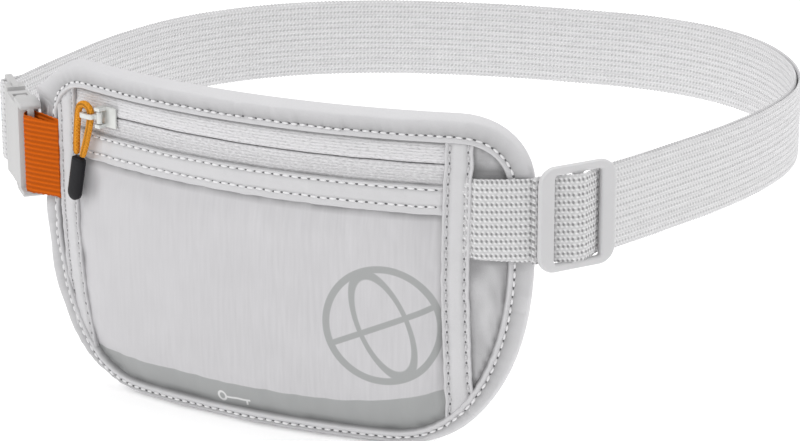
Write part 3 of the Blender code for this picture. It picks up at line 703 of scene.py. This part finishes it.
def stitch_row(name, lines, pitch, length, thread=THREAD, shown=lambda s, z: True):
    """Threads, and dark dots of painted shade in the needle holes, along lines of (s, out, z) on a sewn
    face, where shown(s, z) is true.
    """
    threads, holes = [], []
    for line in lines:
        along = lengths(line)
        for k in range(2 * int(along[-1] / pitch)):
            at = (k + 0.5) * pitch / 2
            s, out, z = (np.interp(at, along, line[:, i]) for i in range(3))
            if not shown(s, z):
                continue
            s1, z1 = (np.interp(at + 0.4, along, line[:, i]) for i in (0, 2))
            angle = math.atan2(z1 - z, s1 - s)
            # every other place gets a dark dot of painted shade in the needle hole
            if k % 2:
                holes.append((s, out + 0.02, z, angle))
            else:
                threads.append((s, out + 0.28, z, angle))
    dots(name + "_thread", threads, (length / 2, 0.36, 0.46), thread)
    dots(name + "_hole_shades", holes, (0.58, 0.16, 0.46), HOLE_SHADE)


# ---- the pouch
def under_strap(s, z):
    """1 where the right strap crosses the pouch's edge."""
    side = 1 / (1 + np.exp(-(s - 84) / 1.5))
    return side / (1 + np.exp((np.abs(z - 2.5) - 17.0) / 1.2))


def under_loop(s, z):
    """1 where the orange loop crosses the pouch's edge."""
    side = 1 / (1 + np.exp((s + 94.5) / 0.8))
    return side / (1 + np.exp((np.abs(z + 0.8) - 16.6) / 0.6))


def stitch_dent(distance, along, pitch, depth):
    """Groove that stitches pull into the cloth, deeper at their needle holes."""
    return depth * hump(distance, 0, 0.75) * (1 - 0.35 * np.cos(2 * math.pi * along / pitch))


def make_binding():
    def ear_bend(s):
        """The ear towards the buckle curves in to the wearer."""
        return 0.045 * np.clip(-s - 103, 0, None) ** 2

    def folded(d, e, along, seed):
        roll = BINDING_PUFF * np.sin(clamp(d / 3.0) * math.pi / 2)
        lip = 0.25 * hump(e, 1.1, 0.7) - 2.6 * clamp(1 - e / 0.7) ** 2
        pucker = 0.7 * ripple(along / 2.4, e / 6.0, seed) * hump(e, 3.8, 2.4)
        edge_wave = 0.25 * ripple(along / 3.5, seed + 3) * hump(e, 0.8, 0.9)
        return roll + lip + pucker + edge_wave - stitch_dent(e - 2.5, along, BINDING_STITCH, 0.75)

    def front(d, e, along, s, z):
        waves = 0.9 * ripple(along / 13.0, d / 7.0 + 7) * clamp(d / 3) * clamp(e / 4)
        waves = waves - 0.45 * hump(e, 4.3, 1.2)
        height = -1.9 + folded(d, e, along, 0.0) + waves
        pressed = clamp(under_strap(s, z) * 1.5 + under_loop(s, z))
        return np.minimum(height, 0.85) * pressed + height * (1 - pressed) - ear_bend(s)

    def back(d, e, along, s, z):
        return -1.9 - 0.72 * folded(d, e, along, 5.0) - ear_bend(s)

    # painted shade: a dark line by the stitch row, a dark crevice at the inner lip and patchy shade in the
    # puckers
    def painted_shade(d, e, along, s, z):
        pinch = 0.16 * hump(e, 4.0, 1.6) * (1 + ripple(along / 3.0, e / 3.0, 2))
        return 0.4 * hump(e, 3.1, 0.5) + 0.95 * hump(e, 0.0, 0.35) + pinch

    outer = EDGE.copy()
    at_ear = (EDGE[:, 0] < -60) * hump(EDGE[:, 1], 19.0, 9.0)
    outer[:, 0] -= EAR_REACH * at_ear
    near_outer = (0, 0.15, 0.45, 0.9, 1.5, 2.1, 2.7)
    near_inner = (3.1, 2.85, 2.6, 2.35, 2.1, 1.8, 1.45, 1.1, 0.8, 0.5, 0.25, 0.1, 0)
    piece, face_line = band("binding", outer, INNER_EDGE, near_outer, near_inner, front, back, SATIN,
                            closed=True, painted_shade=painted_shade)
    sew_on(piece, "edge_binding")
    stitch_row("binding_stitches", [face_line(-2.5)], BINDING_STITCH, 2.4)


def strip_shape(row_a, row_b, top, pitch):
    """Height and painted shade functions of a folded strip with a stitch row near each edge."""
    def front(d, e, along, s, z):
        edges = 0.3 * hump(d, 0.8, 0.55) + 0.3 * hump(e, 0.8, 0.55)
        ends = 1.1 * clamp(1 - d / 0.45) ** 2 + 1.1 * clamp(1 - e / 0.45) ** 2
        dents = stitch_dent(d - row_a, along, pitch, 0.5) + stitch_dent(e - row_b, along, pitch, 0.5)
        covered = 1.3 * clamp((under_binding(s, z) - 0.4) / 1.5)
        return top + edges - ends - dents - covered + 0.3 * ripple(along / 2.8, d / 4.0, top * 9)

    # painted shade along the stitch rows and at both edges
    def painted_shade(d, e, along, s, z):
        rows = hump(d, row_a + 0.6, 0.4) + hump(e, row_b + 0.6, 0.4)
        return 0.25 * rows + 0.55 * (hump(d, 0, 0.2) + hump(e, 0, 0.2))
    return front, painted_shade


def make_strips():
    near = (0, 0.12, 0.3, 0.55, 0.8, 1.1, 1.5, 1.9, 2.3, 2.8, 3.8)
    front, painted_shade = strip_shape(1.9, 1.9, STRIP_HEIGHT, STRIP_STITCH)
    for name, line, node, ends, seed in (
            ("left_strip", LEFT_STRIP, "strip_left", (SHORT_END, LONG_END), 10),
            ("right_strip", RIGHT_STRIP, "strip_right", (LONG_END, SHORT_END), 11)):
        middle = smooth_line(line, 0.8)
        wobble = 0.4 * ripple(middle[:, 1] / 6.0, np.full(len(middle), seed))
        left, right = middle - (STRIP / 2, 0), middle + (STRIP / 2, 0)
        for side, end in zip((left, right), ends):
            low = np.minimum(side[:, 1] - SLANT_FROM, 0)
            side[:, 1] += low * ((end - SLANT_FROM) / low[-1] - 1)
        left[:, 0] += wobble
        right[:, 0] += wobble[::-1]
        piece, face_line = band(name, left, right, near, near[::-1], front, level(0.15), SATIN,
                                painted_shade=painted_shade)
        sew_on(piece, node)
        stitch_row(name + "_stitches", [face_line(1.9), face_line(-1.9)], STRIP_STITCH, 2.0,
                   STRIP_THREAD, lambda s, z: under_binding(s, z) < 0.4)


def make_facing():
    s = np.arange(FACING_START, FACING_END, 0.8)
    low = np.stack((s, FACING_LOW + 0.3 * ripple(s / 6.0)), -1)
    high = np.stack((s, np.full(len(s), FACING_HIGH)), -1)
    near_low = (0, 0.12, 0.3, 0.55, 0.8, 1.2, 1.8, 2.4, 3.0, 3.6, 4.4)
    near_high = (4.4, 3.2, 2.4, 1.9, 1.4, 1.0, 0.7, 0.42, 0.2, 0)
    shape, painted_shade = strip_shape(3.0, 1.4, FACING_HEIGHT, FACING_STITCH)

    def front(d, e, along, s, z):
        end = np.minimum(s - FACING_START, FACING_END - s)
        return shape(d, e, along, s, z) - 0.5 * clamp(1 - end / 1.5)

    piece, face_line = band("zip_lower_facing", low, high, near_low, near_high, front, level(0.05), SATIN,
                            painted_shade=painted_shade)
    sew_on(piece, "zip_facing")
    stitch_row("facing_stitches", [face_line(3.0), face_line(-1.4)], FACING_STITCH, 2.7)


def make_zip_tapes():
    s = np.arange(-86.0, 77.1, 1.5)
    near = (0, 0.2, 0.5, 0.9, 1.4, 2.0, 2.8, 3.8)

    def tape_height(d, e, along, s, z):
        ridge = 0.4 * hump(d, 1.6, 1.2) - 0.5 * clamp(1 - d / 0.5) ** 2
        return -0.15 + ridge + 0.3 * ripple(s / 9.0, z / 3.0)

    # painted shade in the seams under the facing's top edge and under the binding, and at the tape's zip
    # edge
    def painted_shade(d, e, along, s, z):
        seams = np.maximum(0.8 * hump(z, FACING_HIGH, 0.9), 0.95 * hump(z, 29.4, 0.8))
        return seams + 0.5 * hump(d, 0, 0.2)

    for name, start, end, node in (("upper_tape", ZIP_Z + 0.15, 31.0, "zip_tape_upper"),
                                   ("lower_tape", ZIP_Z - 0.15, 12.6, "zip_tape_lower")):
        line, edge = (np.stack((s, np.full(len(s), z)), -1) for z in (start, end))
        line[:, 1] += 0.1 * ripple(s / 14.0)
        piece = band(name, line, edge, near, (4.0, 3.2, 2.6, 2.1, 1.6, 1.1, 0.5, 0), tape_height,
                     level(-0.9), ZIP_TAPE, painted_shade=painted_shade)[0]
        sew_on(piece, node, slot="zip_tape")


def seam_distance(line):
    """Function giving the distance in mm from points to a flat line."""
    def distance(s, z):
        points = np.stack((s, z), -1)[:, None]
        return np.min(np.linalg.norm(points - np.asarray(line)[None], axis=2), axis=1)
    return distance


def settled(shape, faces, pinned):
    """The cloth after it has settled under an outward push, held where pinned(s, z) is true."""
    points = [(s * MM, -out * MM, z * MM) for s, out, z in shape]
    obj = add_mesh("settling", points, facing_out(faces, np.array(points)), SILK)
    held = [i for i, (s, out, z) in enumerate(shape) if pinned(s, z)]
    obj.vertex_groups.new(name="held").add(held, 1.0, "REPLACE")
    cloth = obj.modifiers.new("cloth", "CLOTH")
    settings = cloth.settings
    settings.vertex_group_mass = "held"
    settings.quality = 8
    settings.mass = 0.1
    settings.tension_stiffness = settings.compression_stiffness = 12
    settings.bending_stiffness = 0.08
    settings.shrink_min = -CLOTH_SLACK
    cloth.collision_settings.use_collision = False
    scene = bpy.context.scene
    scene.gravity = (0, -CLOTH_PUSH, 0)
    for step in range(1, 26):
        scene.frame_set(step)
    done = obj.evaluated_get(bpy.context.evaluated_depsgraph_get()).data
    moved = np.array([v.co for v in done.vertices]) / MM
    moved = np.stack((moved[:, 0], -moved[:, 1], moved[:, 2]), -1)
    bpy.data.objects.remove(obj)
    scene.frame_set(1)
    scene.gravity = (0, 0, -9.81)
    return shape + np.clip(moved - shape, -CLOTH_REACH, CLOTH_REACH)


def make_front_panel():
    outline = clipped(inset(EDGE[::3], 2.5), 0, -87.0, True)
    outline = clipped(clipped(outline, 0, 78.5, False), 1, 11.0, False)
    left, right = smooth_line(LEFT_STRIP), smooth_line(RIGHT_STRIP)
    from_binding = seam_distance(INNER_EDGE)

    def beside_strips(s, z):
        """Distance to the nearer strip's edge."""
        left_edge = np.interp(-z, -left[:, 1], left[:, 0]) + STRIP / 2
        right_edge = np.interp(-z, -right[:, 1], right[:, 0]) - STRIP / 2
        return np.minimum(s - left_edge, right_edge - s)

    def height(s, z):
        dimple = -1.5 * hump(s, -75, 4.5) * hump(z, -7, 7.0)
        swell = 1.1 * hump(s, 0, 70) * hump(z, -42, 40)
        folds = 0.55 * ripple(s / 24.0, z / 30.0) + 0.2 * ripple(s / 6.0, z / 30.0, 3)
        tugs = 0.5 * ripple(s / 30.0, z / 4.0, 8) * hump(beside_strips(s, z), 0, 5.0)
        below_facing = clamp((FACING_LOW - z) / 7)
        free = (0.3 + swell + dimple + folds + tugs) * below_facing
        return free - 0.3 - 0.9 * hump(from_binding(s, z), 0, 2.0)

    # painted shade in the seams at the binding, the facing and the strips, and a painted shadow of the grip
    # in the dimple beside it, made uneven
    def painted_shade(s, z):
        seams = np.maximum(0.85 * hump(from_binding(s, z), 0, 0.8), 0.9 * hump(z, FACING_LOW, 0.8))
        dimple = 0.32 * hump(s, -74.5, 3.5) * hump(z, -8, 5.0)
        uneven = 0.75 + 0.35 * ripple(s / 5.0, z / 5.0)
        return np.maximum(np.maximum(seams, 0.8 * hump(beside_strips(s, z), 0, 0.8)), dimple) * uneven

    def pinned(s, z):
        here = np.array([s]), np.array([z])
        return (z > FACING_LOW + 0.5 or z < -80.5 or beside_strips(*here)[0] < 0
                or from_binding(*here)[0] < 2.5)

    piece = cloth_piece("front_cloth", outline, 2.5, height, SILK, pinned=pinned, painted_shade=painted_shade)
    sew_on(piece, "front_panel")


def make_wings():
    panel = inset(EDGE[::3], 2.0)
    from_binding = seam_distance(INNER_EDGE)

    def left_height(s, z):
        folds = 0.9 * ripple(s / 3.2, z / 14.0)
        sink = -1.5 * hump(s, -95, 3.5) * hump(z, -25, 9)
        return -0.4 + folds + sink

    def right_height(s, z):
        folds = 0.8 * ripple((s + 0.4 * z) / 5.0, z / 13.0, 4)
        belly = 1.2 * hump(s, 90, 5) * hump(z, -34, 16)
        pockets = -1.8 * hump(s, 84, 4) * (hump(z, 21.5, 4) + hump(z, -15.5, 4))
        return -0.5 + folds + belly + pockets - 0.8 * under_strap(s, z)

    for name, limit, above, height, node, line in (
            ("left_wing", -86.5, False, left_height, "wing_left", LEFT_STRIP),
            ("right_wing", 77.5, True, right_height, "wing_right", RIGHT_STRIP)):
        side = 1 if above else -1
        from_strip = seam_distance(smooth_line(line) + (side * STRIP / 2, 0))

        # painted shade: shadows in the slots above and below the strap, in the seams at the binding and the
        # strip, and patchy in the folds
        def painted_shade(s, z):
            slots = hump(z, 19.3, 2.2) + 0.8 * hump(z, -14.2, 1.6) if above else 0 * z
            seams = np.maximum(0.95 * hump(from_binding(s, z), 0, 1.0),
                               0.7 * hump(from_strip(s, z), 0, 0.9))
            folds = 0.22 + 0.3 * ripple(s / 3.0, z / 10.0, 6)
            return clamp(np.maximum(np.maximum(seams, folds), 0.75 * slots))

        piece = cloth_piece(name, clipped(panel, 0, limit, above), 1.6, height, SATIN, painted_shade=painted_shade)
        sew_on(piece, node)


def make_back():
    def height(s, z):
        return -3.2 + 0.3 * ripple(s / 22.0, z / 16.0, 9) + 0.12 * ripple(s / 6.0, z / 6.0, 2)

    piece = cloth_piece("back_cloth", inset(EDGE[::3], 3.0), 4.0, height, BACK_CLOTH, 0.7)
    sew_on(piece, "back_panel")
    liner = clipped(clipped(inset(EDGE[::3], BINDING), 1, ZIP_Z - 6, False), 1, BOTTOM + BINDING, True)
    liner = clipped(clipped(liner, 0, LEFT_STRIP[1][0], True), 0, RIGHT_STRIP[1][0], False)
    piece = cloth_piece("pocket_liner", liner, 6.0, lambda s, z: -2.2 + 0.15 * ripple(s / 9, z / 9),
                        FOIL, 0.2)
    sew_on(piece, "rfid_liner", slot="liner_foil")


# ---- webbing
def ribbon(name, plan, z_low, z_high, mat, thickness=WEBBING_THICK, ribs=0.14, rib_pitch=3.8, start=0.0,
           across=26):
    """Webbing standing on edge along plan points in mm, with rounded selvedges and level ribs."""
    plan = np.asarray(plan, float)
    count = len(plan)
    normal = right_of(unit(np.gradient(plan, axis=0)))
    share = np.sin(np.linspace(-math.pi / 2, math.pi / 2, across)) * 0.3 + np.linspace(-1, 1, across) * 0.7
    scallop = np.where(np.arange(count) % 2, 0.12, -0.12)
    low, high = z_low - scallop, z_high + scallop
    z = ((low + high) / 2)[:, None] + ((high - low) / 2)[:, None] * share[None]
    half = thickness / 2 * (1 - np.abs(share[None]) ** 14) ** 0.5
    half = half * (1 - ribs * (0.5 - 0.5 * np.cos(2 * math.pi * z / rib_pitch)))
    along = start + lengths(plan)
    offset = half[..., None] * normal[:, None]
    face, back = (np.concatenate((plan[:, None] + side, z[..., None]), -1) for side in (offset, -offset))
    rings = np.concatenate((face, back[:, ::-1]), 1)
    uv = np.stack((np.broadcast_to(along[:, None], rings.shape[:2]), rings[..., 2]), -1)
    faces = tube_faces(count, rings.shape[1])
    return add_mesh(name, rings.reshape(-1, 3) * MM, faces, mat, uv.reshape(-1, 2))


def run(start, end, out, step):
    count = max(3, round(abs(end - start) / step) + 1)
    return belt(np.linspace(start, end, count), np.full(count, out))


def turn(centre, radius, start, end):
    angles = np.linspace(start, end, 13)
    return centre + radius * np.stack((np.cos(angles), np.sin(angles)), -1)


def world(s, out):
    return tuple(wrap([s, out, 0.0]))


def make_near_strap():
    """From under the right strip to the glide."""
    glide_edge = GLIDE_S - GLIDE_LENGTH / 2
    under_strip = run(79.5, 83.0, 0.6, 1.0)
    s = np.arange(84.0, glide_edge + 1.0, 0.9)
    out = 1.6 + 0.6 * clamp((s - 84) / 10) - 0.6 * clamp((s - 101) / 5)
    plan = np.concatenate((under_strip, belt(s, out)))
    count = len(plan)
    low = np.linspace(-12, -13.9, count) + 0.2 * ripple(np.arange(count) / 5.0)
    piece = ribbon("near_strap", plan, low, np.linspace(17.4, 17.2, count), COARSE, ribs=0.12,
                   rib_pitch=2.5, start=79, across=40)
    sew_on(piece, "anchor_webbing", body=None, slot="webbing")
    world(85, 2.1)
    world(glide_edge - 1, 2.1)
    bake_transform(piece)


def make_bight():
    """The webbing through the glide: under the near bar, over the middle bar, under the far bar."""
    matrix = belt_matrix(GLIDE_S, GLIDE_OUT, GLIDE_Z)
    half = GLIDE_LENGTH / 2
    inner, outer = GLIDE_CENTRE_BAR / 2, half - GLIDE_BAR
    under = GLIDE_THICK / 2 + 0.2 + WEBBING_THICK / 2
    right = [(0, -under), (inner + 0.2, -under + 0.05), (inner + 1.9, -under + 1.1),
             (outer - 2.1, under - 1.4), (outer - 0.4, under), (half + 0.8, under)]
    knots = [(-x, y) for x, y in reversed(right[1:])] + right
    plan = [(matrix @ Vector((x * MM, y * MM, 0))).xy / MM for x, y in spline(knots, 5)]
    piece = ribbon("glide_bight", np.array(plan), GLIDE_Z - 16.2, GLIDE_Z + 16.2, COARSE, ribs=0.12,
                   rib_pitch=2.5, start=105, across=40)
    sew_on(piece, "webbing_bight", body="glide", slot="webbing")


def make_far_webbing():
    """Two layers from the glide round the waist to the clip."""
    far_edge = GLIDE_S + GLIDE_LENGTH / 2 - 0.5
    eye_end = LINE_END - 2.6
    half = WEBBING / 2
    for layer, out in (("outer", -WEBBING_THICK / 2), ("inner", -1.5 * WEBBING_THICK - LAYER_GAP)):
        for zone, start, end, node in (("glide_run", far_edge, GLIDE_BEND_END, "glide_webbing"),
                                       ("back_run", GLIDE_BEND_END, CLIP_BEND_START, "webbing"),
                                       ("clip_run", CLIP_BEND_START, eye_end, "clip_webbing")):
            piece = ribbon(f"{zone}_{layer}", run(start, end, out, RIBBON_STEP), -half, half, FINE,
                           start=start)
            sew_on(piece, f"{node}_{layer}", body="pouch" if zone == "back_run" else None, slot="webbing")
            if zone == "glide_run":
                world(far_edge + 2, out)
                world(GLIDE_BEND_END - 2, out)
                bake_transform(piece)
            if zone == "clip_run":
                world(CLIP_BEND_START + 2, out)
                world(eye_end - 2, out)
                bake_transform(piece)

    bar = buckle_matrix() @ Vector((CLIP_BAR * MM, 0, 0))
    centre = np.array((bar.x, bar.y)) / MM
    radius = BAR_REACH + WEBBING_THICK / 2
    outer = [belt(eye_end, -WEBBING_THICK / 2), belt(LINE_END, -0.9)]
    inner = [belt(LINE_END, -2.3), belt(eye_end, -1.5 * WEBBING_THICK - LAYER_GAP)]
    plan = np.concatenate((outer, turn(centre, radius, math.pi, 2 * math.pi), inner))
    piece = ribbon("buckle_eye", plan, -half, half, FINE, start=LINE_END)
    sew_on(piece, "webbing_eye", body="clip", slot="webbing")


def make_buckle_loop():
    """Orange webbing folded round the socket's bar, with both legs sewn to the pouch."""
    bar = belt(BAR_S, BAR_OUT)
    radius = BAR_REACH + 0.4
    fold = turn(bar, radius, heading(BAR_S) + math.pi / 2, heading(BAR_S) + 3 * math.pi / 2)
    end = LEFT_STRIP[0][0] - STRIP / 2 + 0.6
    back = run(end, BAR_S + 4, 1.5, 1.5)
    s = np.linspace(BAR_S + 3, end, 12)
    front = belt(s, np.linspace(BAR_OUT + radius - 0.6, 1.9, len(s)))
    plan = np.concatenate((back, fold, front))
    taper = clamp((np.arange(len(plan)) - len(back) - 6) / 18)
    piece = ribbon("orange_loop", plan, -16.4 + 0.7 * taper, 14.9 - 1.7 * taper, ORANGE, thickness=0.9,
                   ribs=0.35, rib_pitch=1.85, across=110)
    sew_on(piece, "buckle_loop", slot="orange_webbing")


# ---- hard pieces
def make_glide():
    """Three-bar glide with rounded bars."""
    bevel = 0.9
    half_l, half_h = GLIDE_LENGTH / 2, GLIDE_HEIGHT / 2
    window = half_h - GLIDE_RAIL
    inner, outer = GLIDE_CENTRE_BAR / 2, half_l - GLIDE_BAR

    def rounded(x0, x1, z0, z1, r):
        corners = ((x1 - r, z1 - r, 90), (x1 - r, z0 + r, 0), (x0 + r, z0 + r, -90), (x0 + r, z1 - r, 180))
        return [point for x, z, start in corners for point in corner((x, z), (r, r), start, start - 90)]

    curve = bpy.data.curves.new("glide_body", "CURVE")
    curve.dimensions = "2D"
    curve.fill_mode = "BOTH"
    curve.extrude = (GLIDE_THICK / 2 - bevel) * MM
    curve.bevel_depth = bevel * MM
    curve.bevel_resolution = 3
    curve.offset = -bevel * MM
    for outline in (rounded(-half_l, half_l, -half_h, half_h, 6.5),
                    rounded(inner, outer, -window, window, 1.2),
                    rounded(-outer, -inner, -window, window, 1.2)):
        line = curve.splines.new("POLY")
        line.points.add(len(outline) - 1)
        line.use_cyclic_u = True
        for point, (x, z) in zip(line.points, outline):
            point.co = (x * MM, z * MM, 0, 1)
    source = add_object("glide_curve", curve)
    bpy.context.view_layer.update()
    mesh = bpy.data.meshes.new_from_object(source.evaluated_get(bpy.context.evaluated_depsgraph_get()))
    bpy.data.objects.remove(source)
    bm = bmesh.new()
    bm.from_mesh(mesh)
    bmesh.ops.remove_doubles(bm, verts=bm.verts, dist=1e-6)
    bm.to_mesh(mesh)
    bm.free()
    mesh.transform(belt_matrix(GLIDE_S, GLIDE_OUT, GLIDE_Z) @ Matrix.Rotation(math.radians(90), 4, "X"))
    smooth(mesh, CLEAR, 50)
    sew_on(add_object("glide_body", mesh), "tri_glide", body="glide", slot="clear_plastic")


def finish_node(node, mat, rounding):
    """A CAD node that stays: its own material and softly rounded edges."""
    obj = frame["nodes"][node]
    obj.data.materials.clear()
    obj.data.materials.append(mat)
    obj.data.polygons.foreach_set("material_index", [0] * len(obj.data.polygons))
    weld = obj.modifiers.new("weld", "WELD")
    weld.merge_threshold = 1e-6
    bevel = obj.modifiers.new("rounded", "BEVEL")
    bevel.width = rounding * MM
    bevel.segments = 3
    bevel.limit_method = "ANGLE"
    bevel.angle_limit = math.radians(35)
    obj.data.shade_smooth()


def make_grip(hang, across, down, outward):
    """Flat grip with a round lower end."""
    sides = 28
    straight = GRIP_LENGTH - GRIP_ROUND
    drops = [0, 0.1, 0.5, 1.2] + list(np.linspace(3, straight, 6))
    drops += [straight + GRIP_ROUND * math.sin(a) for a in np.linspace(0.25, math.pi / 2 - 0.06, 7)]
    rings = []
    for drop in drops:
        round_end = math.sqrt(max(0.0, 1 - (max(0.0, drop - straight) / GRIP_ROUND) ** 2))
        shoulder = 1 - 0.3 * max(0.0, 1 - drop / 0.8) ** 2
        for angle in np.linspace(0, 2 * math.pi, sides, endpoint=False):
            x, y = math.cos(angle), math.sin(angle)
            reach = (abs(x) ** 3 + abs(y) ** 3) ** (-1 / 3) * shoulder
            wide = GRIP_HALF_WIDTH * x * reach * round_end
            thick = GRIP_HALF_THICK * y * reach * round_end ** 0.5
            rings.append(hang + (across * wide + outward * thick + down * (GRIP_TOP + drop)) * MM)
    piece = add_mesh("moulded_grip", rings, tube_faces(len(drops), sides), RUBBER)
    sew_on(piece, "puller_grip", body="puller", slot="grip_rubber")


def make_puller():
    """Cord loop on the pull tab, and the grip moulded over its ends."""
    joint = next(j for j in frame["joints"] if j["name"] == "puller_swing")
    hang = Vector(joint["pos_m"])
    outward = Vector(joint["axis"])
    side = Vector((-outward.y, outward.x, 0))
    up = Vector((0, 0, 1))
    down = -up * math.cos(PULLER_TILT) - side * math.sin(PULLER_TILT)
    across = side * math.cos(PULLER_TILT) - up * math.sin(PULLER_TILT)
    leg = [(1.5, CORD_DROP), (2.1, 14), (2.7, 10), (3.1, 6), (LOOP_REACH, 3), (LOOP_REACH, 0.5)]
    top = [(LOOP_REACH * math.cos(a), -0.4 - LOOP_REACH * math.sin(a))
           for a in np.linspace(0.1, math.pi - 0.1, 13)]
    route = leg + top + [(-x, y) for x, y in reversed(leg)]
    path = [hang + across * (x * MM) + down * (y * MM) for x, y in route]

    rings, uv, ring = [], [], 14
    along = 0.0
    for i, point in enumerate(path):
        ahead = (path[min(i + 1, len(path) - 1)] - path[max(i - 1, 0)]).normalized()
        flat = outward.cross(ahead).normalized()
        if i:
            along += (point - path[i - 1]).length / MM
        for k in range(ring):
            angle = 2 * math.pi * k / ring
            rim = outward * math.cos(angle) + flat * math.sin(angle)
            rings.append(point + rim * (CORD_RADIUS * MM))
            uv.append((along, CORD_GIRTH * k / ring))
    piece = add_mesh("cord_loop", rings, tube_faces(len(path), ring), CORD, uv)
    sew_on(subdivide(piece), "puller_cord", body="puller", slot="orange_cord")
    make_grip(hang, across, down, outward)
    tuple(path[0])
    [tuple(p) for p in path]


def make_hard_pieces():
    make_glide()
    make_puller()
    for node, mat, rounding in (("zip_slider", METAL, 0.25), ("pull_tab", METAL, 0.35),
                                ("zip_top_stop", METAL, 0.2), ("zip_bottom_stop", METAL, 0.2),
                                ("zip_coil_upper", COIL, 0.3), ("zip_coil_lower", COIL, 0.3),
                                ("buckle_socket", PLASTIC, 0.8), ("buckle_clip", PLASTIC, 0.6),
                                ("prong_upper", PLASTIC, 0.4), ("prong_lower", PLASTIC, 0.4)):
        finish_node(node, mat, rounding)


# ---- studio
def make_studio():
    scene = bpy.context.scene
    scene.view_settings.view_transform = "Standard"
    low = cad_box[0][2]
    floor = bpy.data.meshes.new("floor")
    floor.from_pydata([(-3, -3, low), (3, -3, low), (3, 3, low), (-3, 3, low)], [], [(0, 1, 2, 3)])
    floor.materials.append(WALL)
    add_object("floor", floor)

    sky = bpy.data.worlds.new("studio")
    sky.use_nodes = True
    put(sky.node_tree.nodes["Background"], Color=(1, 1, 1, 1), Strength=0.62)
    scene.world = sky

    for name, place, size, power in (("key", (-0.7, -1.1, 1.3), 1.0, 9.0),
                                     ("top", (0.1, 0.2, 1.6), 1.4, 10.0),
                                     ("rim", (1.0, 0.9, 0.7), 0.9, 4.0)):
        light = bpy.data.lights.new(name, "AREA")
        light.size = size
        light.energy = power
        lamp = add_object(name, light)
        lamp.location = place
        lamp.rotation_euler = (-Vector(place)).to_track_quat("-Z", "Y").to_euler()

    camera = bpy.data.cameras.new("camera")
    camera.sensor_width = 36
    camera.lens = LENS
    view = add_object("camera", camera)
    view.location = CAMERA_PLACE
    view.rotation_euler = (math.radians(CAMERA_TILT), 0, math.radians(CAMERA_TURN))
    scene.camera = view


make_studio()
make_binding()
make_strips()
make_facing()
make_zip_tapes()
make_front_panel()
make_wings()
make_back()
make_near_strap()
make_bight()
make_far_webbing()
make_buckle_loop()
make_hard_pieces()
